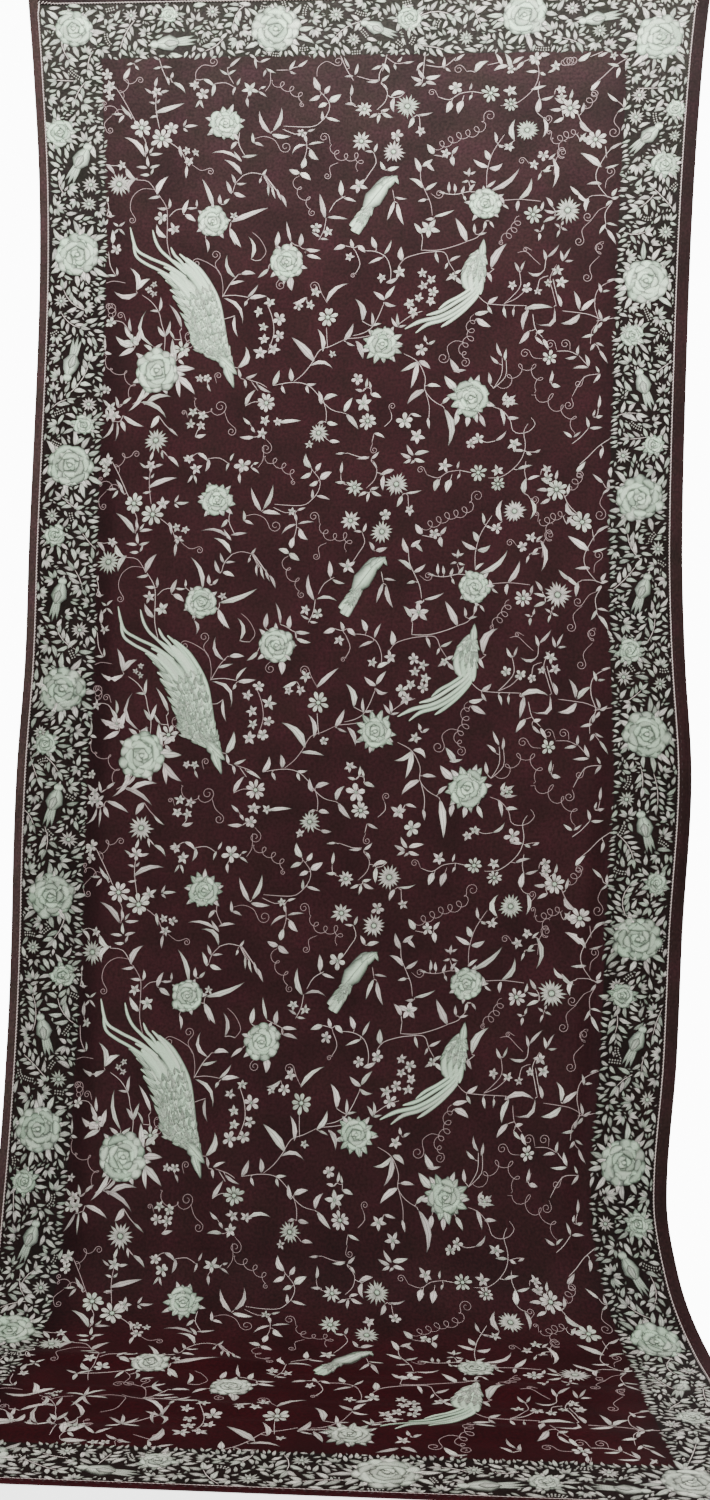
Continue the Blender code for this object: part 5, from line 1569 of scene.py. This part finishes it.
class Bands:
    """The leaves sewn on the flat bands so far, and which cells of the bands are already sewn."""

    def __init__(self, rng):
        self.rng = rng
        self.taken = set()
        self.leaves = []
        self.stems = []

    @staticmethod
    def cells(base, tip, breadth):
        """The cells a leaf of this base, tip and breadth lies on."""
        length = math.dist(base, tip)
        along = max(2, math.ceil(length / ROOM_CELL))
        ux, uy = (tip[0] - base[0]) / length, (tip[1] - base[1]) / length
        for step in range(along + 1):
            t = step / along
            half = breadth / 2 * min(1.0, 3.4 * t + 0.1, 2.6 * (1.0 - t) + 0.1)
            wide = math.ceil(half / ROOM_CELL)
            for side in range(-wide, wide + 1):
                shift = half * side / max(1, wide)
                yield (int((base[0] + ux * length * t - uy * shift) / ROOM_CELL),
                       int((base[1] + uy * length * t + ux * shift) / ROOM_CELL))

    def bare(self, base, tip, breadth, past):
        return in_band(base, past) and in_band(tip, past) and not any(
            cell in self.taken for cell in self.cells(base, tip, breadth * BARE_SHARE))

    def take(self, base, tip, breadth):
        self.taken.update(self.cells(base, tip, breadth))

    def take_round(self, centre, reach):
        across, down = centre
        self.take((across - reach, down), (across + reach, down), reach * 2.0)
        self.take((across, down - reach), (across, down + reach), reach * 2.0)

    def leaf(self, base, tip, breadth, gap=0.0):
        """Sew one leaf and take its room, with a gap to its neighbours."""
        rng = self.rng
        self.take(base, tip, breadth + gap)
        self.leaves.append(patch(base, tip, breadth, SPRIG, bow=rng.uniform(-0.12, 0.12),
                                 tone=rng.uniform(0.14, 0.50), light=rng.uniform(0.56, 1.10),
                                 lift=rng.uniform(0.0, 0.0005)))

    def any_place(self):
        """Any place on the four bands, each band by its share of their area."""
        pick = self.rng.random()
        if pick < 0.40:
            ranges = (HEM_LEFT, LEFT_SEAM), (HEM_END, INNER_FOOT)
        elif pick < 0.80:
            ranges = (RIGHT_SEAM, INNER_RIGHT), (HEM_END, INNER_FOOT)
        elif pick < 0.90:
            ranges = (LEFT_SEAM, RIGHT_SEAM), (HEM_END, TOP_SEAM)
        else:
            ranges = (LEFT_SEAM, RIGHT_SEAM), (FOOT_SEAM, INNER_FOOT)
        return tuple(self.rng.uniform(*ends) for ends in ranges)

    def any_cluster(self, counts):
        """Any place and heading on the bands, and one of these counts."""
        return self.any_place(), self.rng.uniform(0, math.tau), self.rng.choice(counts)

    def tufts_round(self, centre, reach, tufts, length, breadth):
        """Tufts of three large leaves that grow from under a flower, uneven in their places and sizes."""
        rng = self.rng
        start = rng.uniform(0, math.tau)
        for tuft in range(tufts):
            middle = start + math.tau * (tuft + rng.uniform(-0.25, 0.25)) / tufts
            for share in (0, -1, 1):
                angle = middle + share * 0.40
                size = length * rng.uniform(0.75, 1.15) * (1.0 - 0.15 * abs(share))
                base = toward(centre, angle, reach * 0.88)
                tip = toward(base, angle + share * 0.30 + rng.uniform(-0.15, 0.15), size)
                if self.bare(base, tip, breadth, TUFT_PAST):
                    self.leaf(base, tip, breadth, 0.0004)

    def inner_fringe(self):
        """Leaves along the inner edge of each band that point to the field."""
        rng = self.rng
        for index, after in ring(len(BAND_CORNERS)):
            start, end = BAND_CORNERS[index], BAND_CORNERS[after]
            inward = -math.pi / 2 - index * math.pi / 2
            count = round(math.dist(start, end) / FRINGE_STEP)
            for step in range(count):
                edge = between(start, end, (step + rng.uniform(0.2, 0.8)) / count)
                if math.sin(edge[0] * 57.0 + 1.0) + math.sin(edge[1] * 49.0) < -0.3:
                    continue
                size = rng.uniform(0.010, 0.015)
                base = toward(edge, inward + math.pi, size - rng.uniform(0.001, 0.005))
                tip = toward(base, inward + rng.choice((-0.45, 0.0, 0.45)) + rng.uniform(-0.2, 0.2), size)
                breadth = size * rng.uniform(0.30, 0.38)
                if self.bare(base, tip, breadth, FRINGE_PAST):
                    self.leaf(base, tip, breadth, 0.0006)

    def sprig(self, length):
        """The leaves of one sprig, in pairs along a bent stem and one at its tip, and the stem's places."""
        rng = self.rng
        breadth = length * rng.uniform(0.29, 0.35)
        place, angle, count = self.any_cluster((3, 4, 5))
        bend = rng.uniform(-0.28, 0.28)
        stem = [place]
        leaves = []
        for index in range(count):
            place = toward(place, angle, breadth * 1.70)
            stem.append(place)
            size = length * (1.0 - 0.30 * index / count)
            for side in (-1.0, 1.0):
                tip = toward(place, angle + side * rng.uniform(0.72, 0.95), size)
                leaves.append((toward(place, angle + side * 1.2, 0.0014), tip, breadth))
            angle += bend
        leaves.append((place, toward(place, angle, length * 0.9), breadth))
        return leaves, stem

    def fan(self, length):
        """Leaves that spread from one place, the middle one longest. They have no stem."""
        root, heading, count = self.any_cluster((4, 5, 6))
        middle = (count - 1) / 2
        leaves = []
        for index in range(count):
            share = (index - middle) / middle
            angle = heading + share * 1.15 + self.rng.uniform(-0.08, 0.08)
            tip = toward(root, angle, length * (1.0 - 0.22 * abs(share)))
            leaves.append((toward(root, angle, 0.0022), tip, length * 0.31))
        return leaves, []

    def fill_clusters(self, cluster, tries, sizes, needed, gap):
        """Throw clusters of leaves on the bands, and sew those of which the needed share finds bare cloth."""
        for _ in range(tries):
            leaves, stem = cluster(self.rng.uniform(*sizes))
            free = [leaf for leaf in leaves if self.bare(*leaf, CLUSTER_PAST)]
            if len(free) >= needed * len(leaves):
                for leaf in free:
                    self.leaf(*leaf, gap)
                if stem:
                    self.stems.append(Strand(stem, tapered(len(stem), 0.0006), -0.0004, 0.7, 0.9))

    def fill_berries(self, tries):
        """Small round stitches in two rows along a bent line, wherever all of them find bare cloth."""
        for _ in range(tries):
            place, angle, count = self.any_cluster((4, 5, 6))
            bend = self.rng.uniform(-0.25, 0.25)
            berries = []
            for _ in range(count):
                for side in (-1.0, 1.0):
                    across, down = toward(place, angle + side * math.pi / 2, 0.0019)
                    berries.append(((across - 0.0013, down), (across + 0.0013, down), 0.0026))
                place = toward(place, angle, 0.0036)
                angle += bend
            if all(self.bare(*berry, BERRY_PAST) for berry in berries):
                for berry in berries:
                    self.take(*berry)
                    self.leaves.append(patch(*berry, SPRIG, tone=0.4, light=0.98))

    def fill_leaves(self, length, tries, gap):
        """Fill what is still bare with single leaves, turned like their neighbours."""
        rng = self.rng
        for _ in range(tries):
            base = self.any_place()
            across, down = base
            grain = (math.sin(across * 61.0 + 1.7) * 1.6 + math.sin(down * 43.0) * 1.9
                     + math.sin((across + down) * 97.0) * 0.9)
            size = length * rng.uniform(0.85, 1.15)
            breadth = size * rng.uniform(0.32, 0.42)
            tip = toward(base, grain + rng.uniform(-0.5, 0.5), size)
            kept_gap = gap * (0.4 if down < TOP_SEAM else 1.0)
            if self.bare(base, tip, breadth + kept_gap, LEAF_PAST):
                self.leaf(base, tip, breadth, kept_gap)


def band_bird(crown, tail, rng):
    """A small bird: three tail plumes, a body with a folded wing, a round head and a beak."""
    length = math.dist(crown, tail)
    heading = heading_to(tail, crown)
    root = toward(tail, heading, length * 0.62)
    made = [ray_patch(root, heading + math.pi + spread, 0.0, length * share, length * 0.115, LEAF, tone=0.14,
                      light=rng.uniform(0.76, 0.88), lift=0.0002)
            for spread, share in ((-0.16, 0.60), (0.16, 0.60), (0.0, 0.66))]
    body = ray_patch(tail, heading, length * 0.36, length * 0.95, length * 0.36, LEAF, tone=0.12, light=0.86,
                     lift=0.0005)
    wing = patch(toward(tail, heading, length * 0.70), toward(tail, heading + 0.10, length * 0.36),
                 length * 0.17, LEAF, tone=0.24, light=0.76, lift=0.0010)
    head = round_patch(toward(tail, heading, length * 0.90), length * 0.19, GRAIN, tone=0.12, light=0.88,
                       lift=0.0007)
    beak = ray_patch(tail, heading, length * 0.95, length * 1.05, length * 0.05, SPRIG, tone=0.5, light=1.0,
                     lift=0.0004)
    return made + [body, wing, head, beak]


@lru_cache(maxsize=None)
def band_plan():
    """All the patches of the bands: the main motifs first, then sprigs, berries and leaves between them."""
    rng = random.Random(23)
    bands = Bands(rng)
    roses, daisies, birds = [], [], []
    for across, down, reach, petals, point in BAND_ROSES:
        roses += rose((across, down), reach, rng, petals, point, 0.92)
        bands.take_round((across, down), reach * 0.84)
    for across, down, reach, petals in BAND_DAISIES:
        daisies += daisy((across, down), reach, rng, petals, 0.24 if petals == 12 else 0.26)
        bands.take_round((across, down), reach * 0.98)
    for crown, tail in BAND_BIRDS:
        birds += band_bird(crown, tail, rng)
        bands.take(tail, crown, math.dist(crown, tail) * 0.40)
    for across, down, reach, *_ in BAND_ROSES:
        size = 1.0 if reach > LARGE_ROSE else SMALL_SHARE
        for tufts, length, breadth in TUFTS:
            bands.tufts_round((across, down), reach, tufts, length * size, breadth * size)
    bands.inner_fringe()
    bands.fill_clusters(bands.sprig, 5000, (0.017, 0.023), 0.80, 0.0004)
    bands.fill_clusters(bands.fan, 9000, (0.015, 0.021), 0.78, 0.0)
    bands.fill_berries(2600)
    bands.fill_clusters(bands.sprig, 9000, (0.013, 0.018), 0.72, 0.0004)
    for row in SINGLE_LEAVES:
        bands.fill_leaves(*row)
    return {"roses": roses, "daisies": daisies, "birds": birds, "leaves": bands.leaves, "stems": bands.stems}


# A leaf that starts no farther than this past a side band belongs to it.
BAND_PAST = 0.01


def edge_rise(places, inner, outer):
    """The height of a turned edge: full in its middle and rounded down to the crepe at its fold."""
    share = clamp((places - inner) / (outer - inner), 0.0, 1.0)
    rounded = np.sqrt(np.maximum(0.0, 1.0 - np.maximum(0.0, (share - 0.55) / 0.45) ** 2 * 0.8))
    return CREPE_FRONT + (HEM_FRONT - CREPE_FRONT) * (0.35 + 0.65 * rounded)


def span_of(values, ends):
    """The part of the grid's stops from the one nearest to the first end to the one nearest to the second."""
    first, last = (int(np.argmin(np.abs(values - end))) for end in ends)
    return slice(first, last + 1)


def cloth_piece(name, node, across_range, down_range, material, fold=None):
    """One stretch of the draped grid as a closed thin wall, with its flat place as UV in metres. A fold says
    which way an edge is turned, "across" or "down", and where it starts and ends."""
    rows = span_of(DOWN, down_range)
    columns = span_of(ACROSS, across_range)
    down, across = np.meshgrid(DOWN[rows], ACROSS[columns], indexing="ij")
    height = np.full(down.shape, CREPE_FRONT)
    if fold:
        way, inner, outer = fold
        height = edge_rise(across if way == "across" else down, inner, outer)
    back = CLOTH.points[rows, columns]
    face = back + CLOTH.normals[rows, columns] * height[..., None]
    points = np.concatenate((back.reshape(-1, 3), face.reshape(-1, 3)))
    grid = np.arange(down.size).reshape(down.shape)
    over = grid + down.size
    quads = [
        (grid[:-1, :-1], grid[:-1, 1:], grid[1:, 1:], grid[1:, :-1]),
        (over[:-1, :-1], over[1:, :-1], over[1:, 1:], over[:-1, 1:]),
        (grid[1:, 0], over[1:, 0], over[:-1, 0], grid[:-1, 0]),
        (grid[:-1, -1], over[:-1, -1], over[1:, -1], grid[1:, -1]),
        (grid[0, :-1], over[0, :-1], over[0, 1:], grid[0, 1:]),
        (grid[-1, 1:], over[-1, 1:], over[-1, :-1], grid[-1, :-1]),
    ]
    quads = np.concatenate([np.stack(corners, -1).reshape(-1, 4) for corners in quads])
    mesh = new_mesh(name, points.tolist(), faces=quads.tolist())
    flat = np.tile(np.stack((across, down), -1).reshape(-1, 2), (2, 1))
    layer = mesh.uv_layers.new(name="cloth")
    layer.data.foreach_set("uv", flat[quads.reshape(-1)].reshape(-1))
    mesh.materials.append(material)
    smooth(mesh, CLOTH_ANGLE)
    piece = new_object(name, mesh)
    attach(piece, "root")
    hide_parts(node)
    return piece


class DUPATTA_OT_crepe(bpy.types.Operator):
    """Lay the field and the four bands of crepe on the hung form."""

    bl_idname = "dupatta.crepe"
    bl_label = "Crepe field and bands"

    def execute(self, context):
        settings = context.scene.dupatta_crepe
        field = crepe_material("plum_crepe", settings, settings.top_ground, settings.foot_ground,
                               settings.floor_ground, with_fold_shade=True)
        # The bands' ground is painted shade: near black between the stitches, lighter near the held edge.
        band = crepe_material("plum_band_crepe", settings, settings.border_top, settings.border_foot,
                              settings.border_foot)
        middle = (LEFT_SEAM, RIGHT_SEAM)
        whole = (HEM_LEFT, INNER_RIGHT)
        long = (TOP_SEAM, FOOT_SEAM)
        cloth_piece("field_crepe", "field_panel", middle, long, field)
        cloth_piece("left_border_crepe", "border_left", (HEM_LEFT, LEFT_SEAM), long, band)
        cloth_piece("right_border_crepe", "border_right", (RIGHT_SEAM, INNER_RIGHT), long, band)
        cloth_piece("top_border_crepe", "border_top", whole, (HEM_END, TOP_SEAM), band)
        cloth_piece("foot_border_crepe", "border_foot", whole, (FOOT_SEAM, INNER_FOOT), band)
        return {"FINISHED"}


class DUPATTA_OT_edges(bpy.types.Operator):
    """Turn the four plain edges of the crepe."""

    bl_idname = "dupatta.edges"
    bl_label = "Turned edges"

    def execute(self, context):
        settings = context.scene.dupatta_crepe
        shaded_top = [value * EDGE_SHADE for value in settings.top_ground]
        hem = crepe_material("plum_edge_crepe", settings, shaded_top, settings.edge_foot,
                             settings.floor_ground)
        # The left turned edge is painted lighter, as if it caught the light.
        painted_light_left_hem = crepe_material("plum_left_edge_crepe", settings, settings.left_edge, settings.left_edge,
                                  settings.foot_ground)
        long = (0.0, CUT_LENGTH)
        wide = (HEM_LEFT, INNER_RIGHT)
        right = (INNER_RIGHT, CUT_WIDTH)
        foot = (INNER_FOOT, CUT_LENGTH)
        cloth_piece("left_edge", "hem_left", (0.0, HEM_LEFT), long, painted_light_left_hem,
                    ("across", HEM_LEFT, 0.0))
        cloth_piece("right_edge", "hem_right", right, long, hem, ("across", *right))
        cloth_piece("top_edge", "hem_top", wide, (0.0, HEM_END), hem, ("down", HEM_END, 0.0))
        cloth_piece("foot_edge", "hem_foot", wide, foot, hem, ("down", *foot))
        return {"FINISHED"}


def frame_path(inset, lift, step_length=0.02):
    """A closed path round the bands, this far outside their outer edge."""
    left, right = HEM_LEFT - inset, INNER_RIGHT + inset
    top, foot = HEM_END - inset, INNER_FOOT + inset
    corners = ((left, top), (right, top), (right, foot), (left, foot))
    points = []
    for index, after in ring(len(corners)):
        start, end = corners[index], corners[after]
        count = math.ceil(math.dist(start, end) / step_length)
        for step in range(count):
            across, down = (a + (b - a) * step / count for a, b in zip(start, end))
            points.append((across, -down, lift))
    return new_mesh("frame_path", points, ring(len(points)))


def sew_row(name, material, pitch, stitch, inset, lift, slant):
    """A row of stitches all round the cloth."""
    values = {"Shapes": patch_shapes(), "Kind": STITCH, "Pitch": pitch, "Stitch": stitch, "Slant": slant,
              "Thread": material}
    return sew(name, frame_path(inset, lift), get_group("stitch_row", make_row_tree), values)


class DUPATTA_OT_edge_line(bpy.types.Operator):
    """Work the thin pale line outside the bands, and the small stitches that hold the turned edges."""

    bl_idname = "dupatta.edge_line"
    bl_label = "Pale line and edge stitches"

    def execute(self, context):
        settings = context.scene.dupatta_edge
        thread = context.scene.dupatta_thread
        pale = silk_material("pale_line_silk", thread, tone=0.74, light=0.84, rim=0.8)
        stitch = (settings.line_stitch * 1.5, settings.line_width, 1.0)
        sew_row("pale_edge_line", pale, settings.line_stitch, stitch, inset=0.0004, lift=0.0009, slant=0.16)
        plum = silk_material("plum_edge_thread", thread, tone=1.0, light=0.10)
        small = (settings.hem_stitch * 0.4, 0.0010, 0.8)
        sew_row("edge_stitches", plum, settings.hem_stitch, small, inset=0.0052, lift=0.0012, slant=0.0)
        return {"FINISHED"}


def full_silk():
    """The silk of the motifs whose patches lie over one another, with a deep painted shade at each rim."""
    return get_silk("full_silk", rim=0.08)


class DUPATTA_OT_field_leaves(bpy.types.Operator):
    """Sew the leaves of the field."""

    bl_idname = "dupatta.field_leaves"
    bl_label = "Field leaves"

    def execute(self, context):
        sew_patches("field_leaves", field_plan()["leaves"])
        return {"FINISHED"}


class DUPATTA_OT_field_flowers(bpy.types.Operator):
    """Sew the blossoms, daisies and full roses of the field."""

    bl_idname = "dupatta.field_flowers"
    bl_label = "Field flowers"

    def execute(self, context):
        sew_patches("field_flowers", field_plan()["flowers"])
        sew_patches("field_roses", field_plan()["roses"], full_silk())
        return {"FINISHED"}


class DUPATTA_OT_field_birds(bpy.types.Operator):
    """Sew the phoenix, the long-tailed bird and the perched bird of each repeat."""

    bl_idname = "dupatta.field_birds"
    bl_label = "Field birds"

    def execute(self, context):
        sew_strands("field_bird_plumes", field_plan()["straps"], "strap_section", full_silk())
        sew_patches("field_bird_feathers", field_plan()["feathers"], full_silk())
        return {"FINISHED"}


class DUPATTA_OT_field_stems(bpy.types.Operator):
    """Couch the stems and tendrils of the field."""

    bl_idname = "dupatta.field_stems"
    bl_label = "Field stems and tendrils"

    def execute(self, context):
        sew_strands("field_stems", field_plan()["stems"], "cord_section")
        sew_strands("field_tendrils", field_plan()["tendrils"], "cord_section")
        return {"FINISHED"}


class DUPATTA_OT_band_flowers(bpy.types.Operator):
    """Sew the roses, the pointed flowers and the daisies of the bands."""

    bl_idname = "dupatta.band_flowers"
    bl_label = "Band flowers"

    def execute(self, context):
        sew_patches("band_roses", band_plan()["roses"], full_silk())
        sew_patches("band_daisies", band_plan()["daisies"])
        return {"FINISHED"}


class DUPATTA_OT_band_birds(bpy.types.Operator):
    """Sew the small birds of the bands."""

    bl_idname = "dupatta.band_birds"
    bl_label = "Band birds"

    def execute(self, context):
        sew_patches("band_birds", band_plan()["birds"], full_silk())
        return {"FINISHED"}


class DUPATTA_OT_band_leaves(bpy.types.Operator):
    """Sew the sprigs, berries and leaves that fill the bands, in three pieces."""

    bl_idname = "dupatta.band_leaves"
    bl_label = "Band sprigs and leaves"

    def execute(self, context):
        leaves = band_plan()["leaves"]
        left = [leaf for leaf in leaves if leaf.across < LEFT_SEAM + BAND_PAST]
        right = [leaf for leaf in leaves if leaf.across > RIGHT_SEAM - BAND_PAST]
        ends = [leaf for leaf in leaves if LEFT_SEAM + BAND_PAST <= leaf.across <= RIGHT_SEAM - BAND_PAST]
        for name, patches in (("left", left), ("right", right), ("end", ends)):
            # The band silk has a deep painted shade at each rim.
            sew_patches(name + "_band_leaves", patches, get_silk("band_silk", rim=0.20))
        sew_strands("band_stems", band_plan()["stems"], "cord_section")
        return {"FINISHED"}


# The camera, at the photograph's place: metres and degrees.
CAMERA_PLACE = Vector((0.128, -2.138, -1.301))
CAMERA_LEFT_TURN = math.radians(3.09)
CAMERA_UP_TILT = math.radians(3.72)
CAMERA_ROLL = math.radians(0.80)
LENS_PER_LONG_SIDE = 1450.0 / 1500.0
SENSOR = 36.0
FLOOR_HALF_SIZE = 1.6
FLOOR_FRONT = -2.6
FLOOR_BACK = -0.36
FLOOR_GAP = 0.0005
WHITE = (1.0, 1.0, 1.0, 1.0)
# The soft lights: where each one is, what it is aimed at, and its size in metres.
LIGHTS = (
    ("key", (0.2, -1.50, 1.10), (0.0, 0.0, -0.5), 1.4),
    ("fill", (-2.2, -2.0, -0.6), (0.0, 0.0, -1.0), 1.6),
    ("behind", (0.8, 2.2, 0.3), (0.0, 0.0, -0.9), 1.6),
)


def make_floor(settings):
    size = FLOOR_HALF_SIZE
    z = CAD_LOW.z - FLOOR_GAP
    corners = [(-size, FLOOR_FRONT, z), (size, FLOOR_FRONT, z), (size, FLOOR_BACK, z), (-size, FLOOR_BACK, z)]
    mesh = new_mesh("studio_floor", corners, faces=[(0, 1, 2, 3)])
    build, material, shader = new_material("pale_floor")
    place = build.put("ShaderNodeTexCoord").outputs["Object"]
    level = build.ramp(build.noise(place, 3.0, 4.0), 0.3, 0.7, 0.98, 1.0)
    tinted = build.vector(*(build.times(level, value) for value in settings.floor_colour))
    build.feed(shader, {"Base Color": tinted, "Roughness": 0.9, "Emission Color": WHITE,
                        "Emission Strength": settings.floor_glow})
    mesh.materials.append(material)
    new_object("studio_floor", mesh)


def make_light(name, place, aim, size, power):
    light = bpy.data.lights.new(name, "AREA")
    light.size = size
    light.energy = power
    lamp = new_object(name, light)
    lamp.location = place
    lamp.visible_camera = False
    lamp.rotation_euler = (Vector(aim) - Vector(place)).to_track_quat("-Z", "Y").to_euler()


def make_camera():
    lens = bpy.data.cameras.new("photo_view")
    lens.sensor_width = SENSOR
    lens.lens = SENSOR * LENS_PER_LONG_SIDE
    camera = new_object("photo_view", lens)
    turn = Matrix.Rotation(CAMERA_LEFT_TURN, 4, "Z")
    tilt = Matrix.Rotation(math.radians(90.0) + CAMERA_UP_TILT, 4, "X")
    roll = Matrix.Rotation(CAMERA_ROLL, 4, "Z")
    camera.matrix_world = Matrix.Translation(CAMERA_PLACE) @ turn @ tilt @ roll
    bpy.context.scene.camera = camera


class DUPATTA_OT_stage(bpy.types.Operator):
    """Set the pale floor, the soft light and the camera."""

    bl_idname = "dupatta.stage"
    bl_label = "Floor, light and camera"

    def execute(self, context):
        settings = context.scene.dupatta_stage
        make_floor(settings)
        world = bpy.data.worlds.new("studio_air")
        world.use_nodes = True
        build = Tree(world.node_tree)
        seen = build.put("ShaderNodeLightPath").outputs["Is Camera Ray"]
        strength = build.ramp(seen, 0.0, 1.0, settings.air, settings.backdrop)
        build.feed(world.node_tree.nodes["Background"], {"Color": WHITE, "Strength": strength})
        context.scene.world = world
        for name, place, aim, size in LIGHTS:
            make_light(name, place, aim, size, getattr(settings, name + "_power"))
        make_camera()
        return {"FINISHED"}


OPERATORS = (
    DUPATTA_OT_crepe, DUPATTA_OT_edges, DUPATTA_OT_edge_line, DUPATTA_OT_field_leaves,
    DUPATTA_OT_field_flowers, DUPATTA_OT_field_birds, DUPATTA_OT_field_stems, DUPATTA_OT_band_flowers,
    DUPATTA_OT_band_birds, DUPATTA_OT_band_leaves, DUPATTA_OT_stage,
)
SETTINGS = (
    ("dupatta_crepe", CrepeSettings), ("dupatta_thread", ThreadSettings), ("dupatta_edge", EdgeSettings),
    ("dupatta_stage", StageSettings),
)


class DUPATTA_PT_panel(bpy.types.Panel):
    """Lists the sizes, the colours and the steps of the dupatta."""

    bl_label = "Dupatta"
    bl_idname = "DUPATTA_PT_panel"
    bl_space_type = "VIEW_3D"
    bl_region_type = "UI"
    bl_category = "Dupatta"

    def draw(self, context):
        for name, kind in SETTINGS:
            column = self.layout.column(align=True)
            for field in kind.__annotations__:
                column.prop(getattr(context.scene, name), field)
        for operator in OPERATORS:
            self.layout.operator(operator.bl_idname)


def register():
    for name, kind in SETTINGS:
        bpy.utils.register_class(kind)
        setattr(bpy.types.Scene, name, PointerProperty(type=kind))
    for kind in (*OPERATORS, DUPATTA_PT_panel):
        bpy.utils.register_class(kind)


def unregister():
    for kind in reversed((*OPERATORS, DUPATTA_PT_panel)):
        bpy.utils.unregister_class(kind)
    for name, kind in reversed(SETTINGS):
        delattr(bpy.types.Scene, name)
        bpy.utils.unregister_class(kind)


def main():
    register()
    for operator in OPERATORS:
        group, name = operator.bl_idname.split(".")
        getattr(getattr(bpy.ops, group), name)()


if __name__ == "__main__":
    main()
